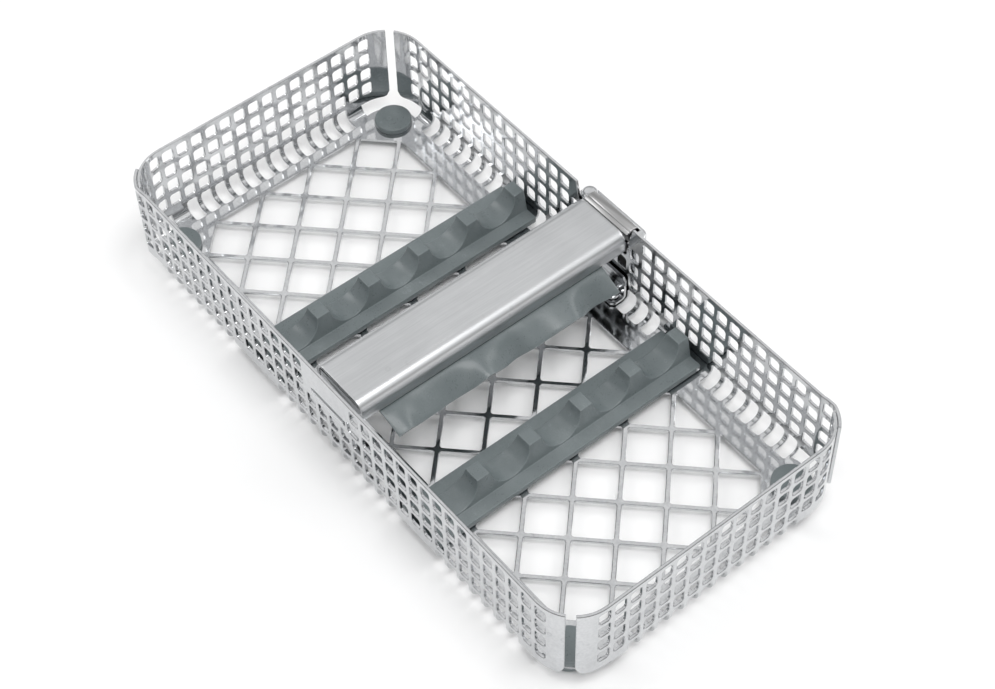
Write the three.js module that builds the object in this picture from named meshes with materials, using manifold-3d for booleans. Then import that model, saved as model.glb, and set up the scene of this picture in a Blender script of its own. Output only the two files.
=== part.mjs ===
// Perforated stainless wash tray for five hand instruments, with two silicone racks, four silicone feet
// and a hinged hold-down bar that a spring latch holds shut. Millimetres, +Z up, X is the long side.
// The near wall is at -Y, the far wall with the latch is at +Y. Z = 0 is the underside of the feet.
import * as THREE from "three";
import { mergeGeometries, mergeVertices } from "three/addons/utils/BufferGeometryUtils.js";
import Module from "manifold-3d";

const wasm = await Module();
wasm.setup();

// ---- driving dimensions -------------------------------------------------------------------------
const LENGTH = 184; // outside, along X
const WIDTH = 91; // outside, along Y
const RIM_Z = 31; // top of the rim
const SHEET = 1; // wall and floor sheet
const FOOT_DROP = 2; // feet stand this far below the floor
const GAP = 0.3; // between neighbouring pieces
const CORNER_R = 12; // outside, in plan
const CORNER_GAP_ANGLE = 39; // degrees of arc each wall keeps at an open corner

const PITCH_X = 4.7; // perforation, along the wall
const PITCH_Z = 5.6; // perforation, up the wall
const HOLE_W = 3.4;
const HOLE_H = 4.2;
const ROWS = 4;
const TOP_ROW_Z = 27.3; // centre of the top row
const LONG_COLUMNS = 33;
const SHORT_COLUMNS = 13;
const SLOT_FIRST = 1; // the first column at a corner has no bend slot
const SLOT_TOP_Z = 6.9;
const SLOT_DEPTH = 5.1; // reach of a bend slot into the floor

const LATTICE = 16.7; // diagonal of a floor diamond
const LATTICE_BAR = 1.2;
const LATTICE_NX = 5; // diamonds either side of the middle, along X
const LATTICE_NY = 2;

const FOOT_X = 82;
const FOOT_Y = 36.5;
const FOOT_R = 5.3;
const FOOT_NECK_R = 3;
const FOOT_CAP = 1.6;

const RACK_X = 33.4;
const RACK_W = 15.2;
const RACK_HALF = 43.2;
const RACK_BASE = 2;
const RIB_BOTTOM_W = 7.6;
const RIB_TOP_W = 4.7;
const RIB_TOP_Z = 11.8;
const SADDLE_R = 6.4;
const SADDLES = 5;
const SADDLE_PITCH = 16.7;
const STUD_R = 2.8;

const BAR_W = 19;
const BAR_TOP_Z = 27.8;
const BAR_SKIRT = 6;
const BAR_R = 3.2;
const BAR_NEAR_Y = -41.8;
const BAR_FAR_Y = 44.2;
const END_PLATE_W = 16.4;
const TONGUE_HALF = 6.6;
const HINGE_Y = -44;
const HINGE_Z = 21.5;
const TONGUE_T = 0.8;
const LATCH_PLATE_Z = 22; // bottom of the far end plate
const CATCH_REACH = 0.3; // the far tongue stands this far outside the far wall

const FLAP_T = 1;
const FLAP_Z = 20.4; // underside
const FLAP_X0 = -6;
const FLAP_X1 = 17.4;
const FLAP_HALF = 36.3;
const STRIP_T = 0.8;
const STRIP_HALF_W = 5;
const FLAP_STUD_YS = [-28, 0, 28];
const FLAP_STUD_R = 1.5;
const FLAP_HEAD_R = 2.5;

const NOTCH_HALF = 9.9; // bar notch in the far rim
const NOTCH_Z = 24.5;
const HOUSING_LEN = 23.6;
const HOUSING_OUT = 4.9; // stands out from the far wall
const HOUSING_Z0 = 8;
const HOUSING_Z1 = 25.8;
const POCKET_LEN = 17.6;
const LEAF_HALF = 8.4;
const LEAF_Y = 46.1; // inner face
const LEAF_T = 0.7;
const LEAF_TOP_Z = 27.3;
const HOOK_Z = NOTCH_Z + 0.4 + TONGUE_T + GAP; // underside, just over the bar's far tongue
const HOOK_Y = LEAF_Y - 0.9; // tip, 0.6 mm in over the tongue
const LIP_OUT = 1.3;
const BRACKET_HALF = 10.5;
const BRACKET_FOOT_Y = 39.4;
const BRACKET_TOP_Z = 11.6;
const RIVET_X = 8;
const RIVET_R = 0.9;
const RIVET_HEAD_R = 1.6;

const HALF_L = LENGTH / 2;
const HALF_W = WIDTH / 2;
const FLOOR_TOP = FOOT_DROP + SHEET;
const NEAR_REACH = 0.4; // the bar's tongue stands this far outside the near wall
const SHIFT_Y = -(HOUSING_OUT + 0.2 - NEAR_REACH) / 2; // puts the box centre on the origin

// ---- helpers ------------------------------------------------------------------------------------
const root = new THREE.Group();
root.name = "instrument_tray";
root.position.y = SHIFT_Y;

const FINISH = {
  polished: { color: 0xc9cccf, metalness: 1, roughness: 0.22 },
  brushed: { color: 0xb6b9bb, metalness: 1, roughness: 0.42 },
  spring: { color: 0xaeb2b5, metalness: 1, roughness: 0.3 },
  silicone: { color: 0x6f7a7d, metalness: 0, roughness: 0.55 },
};

/** A manifold solid from a closed three.js geometry. */
function solid(geometry) {
  const g = geometry.index ? geometry.toNonIndexed() : geometry;
  const bare = new THREE.BufferGeometry().setAttribute("position", g.getAttribute("position"));
  const m = mergeVertices(bare, 1e-4);
  return new wasm.Manifold(
    new wasm.Mesh({
      numProp: 3,
      vertProperties: m.attributes.position.array,
      triVerts: new Uint32Array(m.index.array),
    }),
  );
}

/** A three.js geometry from a manifold solid. */
function geometryOf(made) {
  const m = made.getMesh();
  const v = new Float32Array(m.numVert * 3);
  for (let i = 0; i < m.numVert; i++)
    v.set(m.vertProperties.subarray(i * m.numProp, i * m.numProp + 3), i * 3);
  return new THREE.BufferGeometry()
    .setAttribute("position", new THREE.BufferAttribute(v, 3))
    .setIndex(new THREE.BufferAttribute(new Uint32Array(m.triVerts), 1));
}

/** A box given by its two opposite corners. */
function boxBetween(x0, x1, y0, y1, z0, z1) {
  return new THREE.BoxGeometry(x1 - x0, y1 - y0, z1 - z0).translate(
    (x0 + x1) / 2,
    (y0 + y1) / 2,
    (z0 + z1) / 2,
  );
}

/** An upright cylinder from z0 to z1. */
function rod(x, y, r, z0, z1, sides = 16) {
  return new THREE.CylinderGeometry(r, r, z1 - z0, sides)
    .rotateX(Math.PI / 2)
    .translate(x, y, (z0 + z1) / 2);
}

/** A closed shape through the points. */
function shapeOf(points) {
  return new THREE.Shape(points.map(([x, y]) => new THREE.Vector2(x, y)));
}

/** A prism on an outline in X and Y, from z = 0 up. */
function prism(outline, depth) {
  return new THREE.ExtrudeGeometry(shapeOf(outline), { depth, bevelEnabled: false });
}

/** A prism on an outline in Y and Z, centred along X. */
function alongX(outline, half) {
  const turn = new THREE.Matrix4().set(0, 0, 1, -half, 1, 0, 0, 0, 0, 1, 0, 0, 0, 0, 0, 1);
  return prism(outline, 2 * half).applyMatrix4(turn);
}

/** A prism with holes cut right through it. */
function plate(outline, holes, depth) {
  const cutters = holes.map((h) => prism(h, depth + 2).translate(0, 0, -1));
  const body = solid(prism(outline, depth));
  return geometryOf(body.subtract(solid(mergeGeometries(cutters))));
}

/** The four corners of a rectangle about a centre. */
function rectangle(cx, cy, w, h) {
  return [
    [cx - w / 2, cy - h / 2],
    [cx + w / 2, cy - h / 2],
    [cx + w / 2, cy + h / 2],
    [cx - w / 2, cy + h / 2],
  ];
}

/** Points on an arc, degrees, both ends included. */
function arc(cx, cy, r, a0, a1, steps) {
  const out = [];
  for (let i = 0; i <= steps; i++) {
    const a = THREE.MathUtils.degToRad(a0 + ((a1 - a0) * i) / steps);
    out.push([cx + r * Math.cos(a), cy + r * Math.sin(a)]);
  }
  return out;
}

/** Adds one named piece. */
function piece(name, geometry, finish, parent = root) {
  const mesh = new THREE.Mesh(geometry, new THREE.MeshStandardMaterial(FINISH[finish]));
  mesh.name = name;
  parent.add(mesh);
  return mesh;
}

// ---- perforation --------------------------------------------------------------------------------
const columns = (n) => Array.from({ length: n }, (_, i) => (i - (n - 1) / 2) * PITCH_X);
const rowZ = (row) => TOP_ROW_Z - row * PITCH_Z;
const atRack = (x) => Math.abs(Math.abs(x) - RACK_X) < 7.9;
const longSlots = columns(LONG_COLUMNS).slice(SLOT_FIRST, -SLOT_FIRST).filter((x) => !atRack(x));
const farSlots = longSlots.filter((x) => Math.abs(x) > BRACKET_HALF + 1.5);
const endSlots = columns(SHORT_COLUMNS).slice(SLOT_FIRST, -SLOT_FIRST);

/** A wall panel in its own plane (u along, v up): slots open at the bottom edge, holes above. */
function wallPanel(half, slots, cols, skip, extra = []) {
  const z0 = FLOOR_TOP + GAP;
  const holes = slots.map((s) => rectangle(s, (SLOT_TOP_Z + z0 - 2) / 2, HOLE_W, SLOT_TOP_Z - z0 + 2));
  for (let row = 0; row < ROWS; row++)
    for (const c of cols) if (!skip(c, row)) holes.push(rectangle(c, rowZ(row), HOLE_W, HOLE_H));
  return plate(rectangle(0, (z0 + RIM_Z) / 2, 2 * half, RIM_Z - z0), [...holes, ...extra], SHEET);
}

const STRAIGHT_L = HALF_L - CORNER_R - GAP / 2;
const STRAIGHT_W = HALF_W - CORNER_R - GAP / 2;

// ---- basket -------------------------------------------------------------------------------------
const basket = new THREE.Group();
root.add(basket);

{
  // Near wall: plain round the hinge slit.
  const slit = rectangle(0, HINGE_Z - 0.7, 2 * TONGUE_HALF + 0.9, 2.6);
  const plain = (c, row) => Math.abs(c) < 11 && row < 2;
  const g = wallPanel(STRAIGHT_L, longSlots, columns(LONG_COLUMNS), plain, [slit]);
  g.rotateX(Math.PI / 2).translate(0, -HALF_W + SHEET, 0);
  piece("near_wall", g, "polished", basket);
}
{
  // Far wall: notched for the bar, plain where the bracket stands.
  const notch = [
    [-NOTCH_HALF, NOTCH_Z],
    [NOTCH_HALF, NOTCH_Z],
    [NOTCH_HALF + 1.4, RIM_Z + 1],
    [-NOTCH_HALF - 1.4, RIM_Z + 1],
  ];
  const plain = (c, row) => (Math.abs(c) < 13 && row === 0) || (Math.abs(c) < 11 && row === 3);
  const g = wallPanel(STRAIGHT_L, farSlots, columns(LONG_COLUMNS), plain, [notch]);
  g.rotateX(Math.PI / 2).translate(0, HALF_W, 0);
  piece("far_wall", g, "polished", basket);
}
for (const side of [-1, 1]) {
  const g = wallPanel(STRAIGHT_W, endSlots, columns(SHORT_COLUMNS), () => false);
  g.rotateX(Math.PI / 2).rotateZ(Math.PI / 2).translate(side < 0 ? -HALF_L : HALF_L - SHEET, 0, 0);
  piece(side < 0 ? "left_end_wall" : "right_end_wall", g, "polished", basket);
}

/** A curved piece of wall at a corner, between two angles in degrees. */
function cornerArc(name, sx, sy, a0, a1, z0, steps) {
  const cx = sx * (HALF_L - CORNER_R);
  const cy = sy * (HALF_W - CORNER_R);
  const outline = [
    ...arc(cx, cy, CORNER_R, a0, a1, steps),
    ...arc(cx, cy, CORNER_R - SHEET, a1, a0, steps),
  ];
  piece(name, prism(outline, RIM_Z - z0).translate(0, 0, z0), "polished", basket);
}
const CUT = 1; // degrees, the small gap to the straight wall
cornerArc("left_corner_wrap", -1, -1, 180 + CUT, 270 - CUT, FLOOR_TOP + GAP, 8);
cornerArc("right_corner_wrap", 1, 1, CUT, 90 - CUT, FLOOR_TOP + GAP, 8);
cornerArc("rear_wing_far", -1, 1, 90 + CUT, 90 + CORNER_GAP_ANGLE, 4.8, 4);
cornerArc("rear_wing_left", -1, 1, 180 - CORNER_GAP_ANGLE, 180 - CUT, 4.8, 4);
cornerArc("front_wing_near", 1, -1, 270 + CUT, 270 + CORNER_GAP_ANGLE, 4.8, 4);
cornerArc("front_wing_right", 1, -1, 360 - CORNER_GAP_ANGLE, 360 - CUT, 4.8, 4);

{
  // Floor: the outline runs anticlockwise from the left end of the near edge.
  const sx = HALF_L - CORNER_R;
  const sy = HALF_W - CORNER_R;
  const LOBE = 2.3; // the floor steps in from the open corners
  const outline = [
    [sx - 4, -HALF_W],
    [sx - 4, -HALF_W + LOBE],
    ...arc(sx, -sy, CORNER_R - LOBE, -90, 0, 6),
    [HALF_L - LOBE, -sy + 3],
    [HALF_L, -sy + 3],
    ...arc(sx, sy, CORNER_R, 0, 90, 6),
    [-sx + 4, HALF_W],
    [-sx + 4, HALF_W - LOBE],
    ...arc(-sx, sy, CORNER_R - LOBE, 90, 180, 6),
    [-HALF_L + LOBE, sy - 3],
    [-HALF_L, sy - 3],
    ...arc(-sx, -sy, CORNER_R, 180, 270, 6),
  ];

  const half = LATTICE / 2;
  const d = half - LATTICE_BAR / Math.SQRT2;
  const reach = SLOT_DEPTH + 1;
  const holes = [
    ...longSlots.map((s) => rectangle(s, -HALF_W - 1 + reach / 2, HOLE_W, reach)),
    ...farSlots.map((s) => rectangle(s, HALF_W + 1 - reach / 2, HOLE_W, reach)),
    ...endSlots.map((s) => rectangle(-HALF_L - 1 + reach / 2, s, reach, HOLE_W)),
    ...endSlots.map((s) => rectangle(HALF_L + 1 - reach / 2, s, reach, HOLE_W)),
  ];
  for (let k = -LATTICE_NX; k <= LATTICE_NX; k++)
    for (let m = -LATTICE_NY; m <= LATTICE_NY; m++) {
      const cx = k * LATTICE;
      const cy = m * LATTICE;
      const edgeX = Math.abs(k) === LATTICE_NX;
      const edgeY = Math.abs(m) === LATTICE_NY;
      if (edgeX && edgeY) continue;
      const ring = [
        [cx + d, cy],
        [cx, cy + d],
        [cx - d, cy],
        [cx, cy - d],
      ];
      // A diamond on the edge of the lattice keeps only its inner half.
      holes.push(
        ring.filter(([x, y]) =>
          edgeX ? Math.abs(x) <= Math.abs(cx) + 1e-6 : edgeY ? Math.abs(y) <= Math.abs(cy) + 1e-6 : true,
        ),
      );
    }
  for (let k = -LATTICE_NX; k < LATTICE_NX; k++)
    for (let m = -LATTICE_NY; m < LATTICE_NY; m++) {
      const cx = k * LATTICE + half;
      const cy = m * LATTICE + half;
      holes.push([
        [cx + d, cy],
        [cx, cy + d],
        [cx - d, cy],
        [cx, cy - d],
      ]);
    }
  for (const fx of [-1, 1])
    for (const fy of [-1, 1])
      holes.push(arc(fx * FOOT_X, fy * FOOT_Y, FOOT_NECK_R + GAP, 0, 360, 16).slice(0, -1));
  for (const rx of [-RIVET_X, RIVET_X])
    holes.push(arc(rx, BRACKET_FOOT_Y + 2.2, RIVET_R + GAP, 0, 360, 10).slice(0, -1));
  piece("floor_panel", plate(outline, holes, SHEET).translate(0, 0, FOOT_DROP), "polished", basket);
}

// ---- feet ---------------------------------------------------------------------------------------
/** A grommet foot: flange below the floor, neck through it, domed cap above it. */
function footGeometry() {
  const capZ = FLOOR_TOP + GAP;
  const profile = [
    [0, 0],
    [FOOT_R - 0.4, 0],
    [FOOT_R, 0.5],
    [FOOT_R, FOOT_DROP - GAP],
    [FOOT_NECK_R, FOOT_DROP - GAP],
    [FOOT_NECK_R, capZ],
    [FOOT_R, capZ],
    [FOOT_R, capZ + FOOT_CAP * 0.55],
    [FOOT_R - 0.7, capZ + FOOT_CAP * 0.9],
    [0, capZ + FOOT_CAP],
  ].map(([r, z]) => new THREE.Vector2(r, z));
  return new THREE.LatheGeometry(profile, 20).rotateX(Math.PI / 2);
}
for (const [name, fx, fy] of [
  ["foot_rear_left", -1, 1],
  ["foot_rear_right", 1, 1],
  ["foot_front_left", -1, -1],
  ["foot_front_right", 1, -1],
]) {
  const mesh = piece(name, footGeometry(), "silicone");
  mesh.position.set(fx * FOOT_X, fy * FOOT_Y, 0);
}

// ---- racks --------------------------------------------------------------------------------------
/** One moulded rack about its own middle: base, tapered rib, saddles, two studs through the floor. */
function rackGeometry() {
  const z0 = FLOOR_TOP + GAP;
  const z1 = z0 + RACK_BASE;
  const rib = [
    [-RIB_BOTTOM_W / 2, z1 - 0.5],
    [RIB_BOTTOM_W / 2, z1 - 0.5],
    [RIB_TOP_W / 2, RIB_TOP_Z],
    [-RIB_TOP_W / 2, RIB_TOP_Z],
  ];
  let made = solid(boxBetween(-RACK_W / 2, RACK_W / 2, -RACK_HALF, RACK_HALF, z0, z1));
  made = made.add(solid(prism(rib, 2 * RACK_HALF).rotateX(Math.PI / 2).translate(0, RACK_HALF, 0)));
  for (let i = 0; i < SADDLES; i++) {
    const y = (i - (SADDLES - 1) / 2) * SADDLE_PITCH;
    const scoop = new THREE.CylinderGeometry(SADDLE_R, SADDLE_R, RACK_W + 2, 24)
      .rotateZ(Math.PI / 2)
      .translate(0, y, RIB_TOP_Z + 0.3);
    made = made.subtract(solid(scoop));
  }
  for (const y of [-SADDLE_PITCH, SADDLE_PITCH])
    made = made.add(solid(rod(0, y, STUD_R, FOOT_DROP - 1.1, z0 + 1, 12)));
  return geometryOf(made);
}
for (const [name, side] of [
  ["rack_left", -1],
  ["rack_right", 1],
]) {
  const mesh = piece(name, rackGeometry(), "silicone");
  mesh.position.x = side * RACK_X;
}

// ---- hold-down bar ------------------------------------------------------------------------------
const bar = new THREE.Group();
root.add(bar);
{
  // Channel section in X and Z, open below, with rounded shoulders.
  const w = BAR_W / 2;
  const z0 = BAR_TOP_Z - BAR_SKIRT;
  const outer = [
    [w, z0],
    ...arc(w - BAR_R, BAR_TOP_Z - BAR_R, BAR_R, 0, 90, 5),
    ...arc(-w + BAR_R, BAR_TOP_Z - BAR_R, BAR_R, 90, 180, 5),
    [-w, z0],
  ];
  const r = BAR_R - SHEET;
  const inner = [
    [-w + SHEET, z0],
    ...arc(-w + BAR_R, BAR_TOP_Z - BAR_R, r, 180, 90, 4),
    ...arc(w - BAR_R, BAR_TOP_Z - BAR_R, r, 90, 0, 4),
    [w - SHEET, z0],
  ];
  const g = prism([...outer, ...inner], BAR_FAR_Y - BAR_NEAR_Y)
    .rotateX(Math.PI / 2)
    .translate(0, BAR_FAR_Y, 0);
  piece("clamp_bar", g, "brushed", bar);

  const plateTop = BAR_TOP_Z - SHEET - GAP;
  const e = END_PLATE_W / 2;
  const nearPlate = solid(
    boxBetween(-e, e, BAR_NEAR_Y + 0.2, BAR_NEAR_Y + 1.2, HINGE_Z - TONGUE_T / 2, plateTop - 1.6),
  ).add(
    solid(
      boxBetween(
        -TONGUE_HALF,
        TONGUE_HALF,
        -HALF_W - NEAR_REACH,
        BAR_NEAR_Y + 0.7,
        HINGE_Z - TONGUE_T / 2,
        HINGE_Z + TONGUE_T / 2,
      ),
    ),
  );
  piece("bar_hinge_plate", geometryOf(nearPlate), "brushed", bar);

  const farPlate = solid(
    boxBetween(-e, e, BAR_FAR_Y - 1.2, BAR_FAR_Y - 0.2, LATCH_PLATE_Z, plateTop - 1.6),
  ).add(
    solid(
      boxBetween(
        -TONGUE_HALF,
        TONGUE_HALF,
        BAR_FAR_Y - 0.7,
        HALF_W + CATCH_REACH,
        NOTCH_Z + 0.4,
        NOTCH_Z + 0.4 + TONGUE_T,
      ),
    ),
  );
  piece("bar_latch_plate", geometryOf(farPlate), "brushed", bar);

  let flap = solid(boxBetween(FLAP_X0, FLAP_X1, -FLAP_HALF, FLAP_HALF, FLAP_Z, FLAP_Z + FLAP_T));
  let strip = solid(
    boxBetween(
      -STRIP_HALF_W,
      STRIP_HALF_W,
      -FLAP_HALF + 0.5,
      FLAP_HALF - 0.5,
      FLAP_Z - GAP - STRIP_T,
      FLAP_Z - GAP,
    ),
  );
  for (const y of FLAP_STUD_YS) {
    const hole = solid(rod(0, y, FLAP_STUD_R + GAP, FLAP_Z - 4, FLAP_Z + 4, 12));
    flap = flap.subtract(hole);
    strip = strip.subtract(hole);
  }
  piece("hold_flap", geometryOf(flap), "silicone", bar);
  piece("flap_strip", geometryOf(strip), "brushed", bar);
  const headTop = FLAP_Z - 2 * GAP - STRIP_T;
  ["near", "middle", "far"].forEach((where, i) => {
    const stud = solid(rod(0, FLAP_STUD_YS[i], FLAP_STUD_R, headTop - 0.6, plateTop, 12)).add(
      solid(rod(0, FLAP_STUD_YS[i], FLAP_HEAD_R, headTop - 1.1, headTop, 12)),
    );
    piece("flap_stud_" + where, geometryOf(stud), "brushed", bar);
  });
}

// ---- latch --------------------------------------------------------------------------------------
const latchGroup = new THREE.Group();
root.add(latchGroup);
{
  // Guard: a long ring with round ends, closed at the bottom.
  const y0 = HALF_W + 0.2;
  const y1 = HALF_W + 0.2 + HOUSING_OUT;
  const r = HOUSING_OUT / 2;
  const mid = (y0 + y1) / 2;
  const straight = HOUSING_LEN / 2 - r;
  const outline = [
    [-straight - r, y0],
    [straight + r, y0],
    ...arc(straight, mid, r, 0, 90, 5),
    ...arc(-straight, mid, r, 90, 180, 5),
  ];
  const block = solid(prism(outline, HOUSING_Z1 - HOUSING_Z0).translate(0, 0, HOUSING_Z0));
  const pocket = solid(
    boxBetween(-POCKET_LEN / 2, POCKET_LEN / 2, y0 - 1, y1 - 1, HOUSING_Z0 + 1.6, HOUSING_Z1 + 1),
  );
  piece("latch_housing", geometryOf(block.subtract(pocket)), "polished", latchGroup);

  // Leaf: stands in the pocket behind the bar's tongue, hooks over it and ends in a thumb lip.
  const leafBottom = HOUSING_Z0 + 1.9;
  const leafOuter = LEAF_Y + LEAF_T;
  const leaf = [
    [LEAF_Y, leafBottom],
    [leafOuter, leafBottom],
    [leafOuter, LEAF_TOP_Z - 2.4],
    [leafOuter + LIP_OUT, LEAF_TOP_Z - 1.9],
    [leafOuter + LIP_OUT, LEAF_TOP_Z - 1.2],
    [leafOuter - 0.1, LEAF_TOP_Z],
    [LEAF_Y, LEAF_TOP_Z - 0.3],
    [HOOK_Y, LEAF_TOP_Z - 0.8],
    [HOOK_Y, HOOK_Z],
    [LEAF_Y, HOOK_Z],
  ];
  piece("latch_leaf", alongX(leaf, LEAF_HALF), "spring", latchGroup);

  // Bracket: foot on the floor, flange against the wall.
  const inner = HALF_W - SHEET - GAP;
  const foot = FLOOR_TOP + GAP;
  const flange = [
    [BRACKET_FOOT_Y, foot],
    [inner, foot],
    [inner, BRACKET_TOP_Z],
    [inner - 0.8, BRACKET_TOP_Z],
    [inner - 0.8, foot + 0.8],
    [BRACKET_FOOT_Y, foot + 0.8],
  ];
  let bracket = solid(alongX(flange, BRACKET_HALF));
  const ry = BRACKET_FOOT_Y + 2.2;
  for (const rx of [-RIVET_X, RIVET_X])
    bracket = bracket.subtract(solid(rod(rx, ry, RIVET_R + GAP, foot - 1, foot + 2, 10)));
  piece("latch_bracket", geometryOf(bracket), "polished", latchGroup);
  const head = foot + 0.8 + GAP;
  for (const [name, rx] of [
    ["latch_rivet_left", -RIVET_X],
    ["latch_rivet_right", RIVET_X],
  ]) {
    const rivet = solid(rod(rx, ry, RIVET_R, FOOT_DROP - 0.4, head + 0.3, 10)).add(
      solid(
        new THREE.CylinderGeometry(RIVET_HEAD_R * 0.6, RIVET_HEAD_R, 0.8, 12)
          .rotateX(Math.PI / 2)
          .translate(rx, ry, head + 0.4),
      ),
    );
    piece(name, geometryOf(rivet), "polished", latchGroup);
  }
}

export default root;
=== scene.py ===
"""Looks of a perforated instrument wash tray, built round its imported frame.

The basket, feet, racks, hold-down bar and latch are each a class that holds its sizes in metres, builds
its meshes and dresses them. Places are read from the frame's boxes, so every piece lands where the design
puts it.
"""

import logging
import math
from dataclasses import dataclass
from enum import Enum
from typing import Sequence

import bmesh
import bpy
from mathutils import Euler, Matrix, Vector


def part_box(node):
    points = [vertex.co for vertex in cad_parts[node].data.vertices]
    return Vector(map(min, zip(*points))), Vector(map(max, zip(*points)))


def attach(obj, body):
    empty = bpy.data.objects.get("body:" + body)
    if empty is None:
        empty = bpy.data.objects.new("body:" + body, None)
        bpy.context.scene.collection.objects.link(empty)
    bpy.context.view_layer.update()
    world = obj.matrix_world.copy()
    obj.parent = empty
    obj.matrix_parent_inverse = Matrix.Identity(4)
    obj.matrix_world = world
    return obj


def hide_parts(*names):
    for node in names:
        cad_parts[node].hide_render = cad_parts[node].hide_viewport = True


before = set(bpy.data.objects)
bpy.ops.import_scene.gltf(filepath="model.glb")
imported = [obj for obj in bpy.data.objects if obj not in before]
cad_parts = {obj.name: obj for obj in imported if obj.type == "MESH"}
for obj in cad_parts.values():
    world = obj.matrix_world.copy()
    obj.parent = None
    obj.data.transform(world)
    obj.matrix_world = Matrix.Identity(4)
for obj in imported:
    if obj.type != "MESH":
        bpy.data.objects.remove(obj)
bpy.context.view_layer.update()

MM = 0.001
WELD = 0.004 * MM
SMOOTH_ANGLE = math.radians(32)

Plan = tuple[float, float]
Solid = tuple[float, float, float]
Object = bpy.types.Object
Socket = bpy.types.NodeSocket

log = logging.getLogger("tray")


class Slot(Enum):
    """The material slots."""

    POLISHED = "polished_steel"
    BRUSHED = "brushed_steel"
    SPRING = "spring_steel"
    SILICONE = "silicone"


class Side(Enum):
    """The four walls, by how far each is turned from the near one."""

    NEAR = 0
    RIGHT = 90
    FAR = 180
    LEFT = 270


# ---- mesh helpers -----------------------------------------------------------------------------------


def mesh_object(name: str, points: Sequence[Sequence[float]], faces: Sequence[Sequence[int]]) -> Object:
    """Makes an object from points and faces and links it to the scene.

    Args:
        name: the object's name.
        points: places in metres.
        faces: corner numbers of each face.

    Returns:
        The new object.
    """
    mesh = bpy.data.meshes.new(name)
    mesh.from_pydata([tuple(p) for p in points], [], [tuple(f) for f in faces])
    obj = bpy.data.objects.new(name, mesh)
    bpy.context.scene.collection.objects.link(obj)
    return obj


def merged(obj: Object) -> Object:
    """Welds an object's doubled points and turns its closed surface's faces outwards."""
    bm = bmesh.new()
    bm.from_mesh(obj.data)
    bmesh.ops.remove_doubles(bm, verts=bm.verts, dist=WELD)
    bmesh.ops.recalc_face_normals(bm, faces=bm.faces)
    bm.to_mesh(obj.data)
    bm.free()
    return obj


def bevelled(obj: Object, width: float, segments: int = 2, angle: float = 40.0) -> Object:
    """Gives an object a bevel on every edge sharper than an angle in degrees."""
    bevel = obj.modifiers.new("Edges", "BEVEL")
    bevel.width, bevel.segments = width, segments
    bevel.limit_method, bevel.angle_limit = "ANGLE", math.radians(angle)
    return obj


def shaded(obj: Object, smooth_angle: float) -> Object:
    """Shades an object smooth, apart from edges sharper than an angle in radians."""
    obj.data.polygons.foreach_set("use_smooth", [True] * len(obj.data.polygons))
    obj.data.set_sharp_from_angle(angle=smooth_angle)
    return obj


def settled(obj: Object, smooth_angle: float = SMOOTH_ANGLE) -> Object:
    """Replaces an object's mesh by its evaluated one, drops the modifiers and shades it.

    Args:
        obj: the object, whose modifiers have their final values.
        smooth_angle: faces that meet at less than this, in radians, shade as one surface.

    Returns:
        The same object with a plain mesh.
    """
    graph = bpy.context.evaluated_depsgraph_get()
    made = bpy.data.meshes.new_from_object(obj.evaluated_get(graph))
    obj.modifiers.clear()
    obj.data = made
    return shaded(obj, smooth_angle)


def joined(name: str, objects: Sequence[Object]) -> Object:
    """Puts several plain objects' meshes together in one object."""
    bm = bmesh.new()
    for obj in objects:
        bm.from_mesh(obj.data)
        bpy.data.objects.remove(obj)
    mesh = bpy.data.meshes.new(name)
    bm.to_mesh(mesh)
    bm.free()
    out = bpy.data.objects.new(name, mesh)
    bpy.context.scene.collection.objects.link(out)
    return out


def rounded_line(points: Sequence[Sequence[float]], radius: float, steps: int = 5) -> list[tuple[float, ...]]:
    """Rounds the inner corners of an open line.

    Args:
        points: corners, of which the first two numbers are the place and any others are blended along.
        radius: the corner radius in metres.
        steps: how many stretches each corner gets.

    Returns:
        The line's points with each inner corner replaced by an arc.
    """
    out = [tuple(points[0])]
    for before, corner, after in zip(points, points[1:], points[2:]):
        here = Vector(corner[:2])
        back, ahead = Vector(before[:2]) - here, Vector(after[:2]) - here
        turn = math.pi - back.angle(ahead)
        reach = min(radius * math.tan(turn / 2), 0.49 * back.length, 0.49 * ahead.length)
        start, end = here + back.normalized() * reach, here + ahead.normalized() * reach
        for k in range(steps + 1):
            t = k / steps
            place = start * (1 - t) ** 2 + here * (2 * t * (1 - t)) + end * t**2
            out.append((place.x, place.y, *corner[2:]))
    out.append(tuple(points[-1]))
    return out


def lathe(name: str, profile: Sequence[Plan], centre: Plan, steps: int = 48) -> Object:
    """Turns a profile of radius and height round an upright axis.

    Args:
        name: the object's name.
        profile: points of radius and height, from the axis to the axis.
        centre: the axis in X and Y.
        steps: sides of the turned shape.

    Returns:
        A closed object.
    """
    points: list[Solid] = []
    faces: list[tuple[int, ...]] = []
    for radius, height in profile:
        for k in range(steps):
            a = math.tau * k / steps
            points.append((centre[0] + radius * math.cos(a), centre[1] + radius * math.sin(a), height))
    for ring in range(len(profile) - 1):
        for k in range(steps):
            near, far = ring * steps + k, ring * steps + (k + 1) % steps
            faces.append((near, far, far + steps, near + steps))
    return merged(mesh_object(name, points, faces))


def loft(name: str, sections: Sequence[Sequence[Solid]]) -> Object:
    """Joins closed sections of equal point counts into one closed body with flat ends."""
    count = len(sections[0])
    points = [p for section in sections for p in section]
    faces: list[tuple[int, ...]] = []
    for row in range(len(sections) - 1):
        for k in range(count):
            a, b = row * count + k, row * count + (k + 1) % count
            faces.append((a, b, b + count, a + count))
    last = (len(sections) - 1) * count
    faces.append(tuple(range(count)))
    faces.append(tuple(last + k for k in range(count)))
    return merged(mesh_object(name, points, faces))


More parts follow.
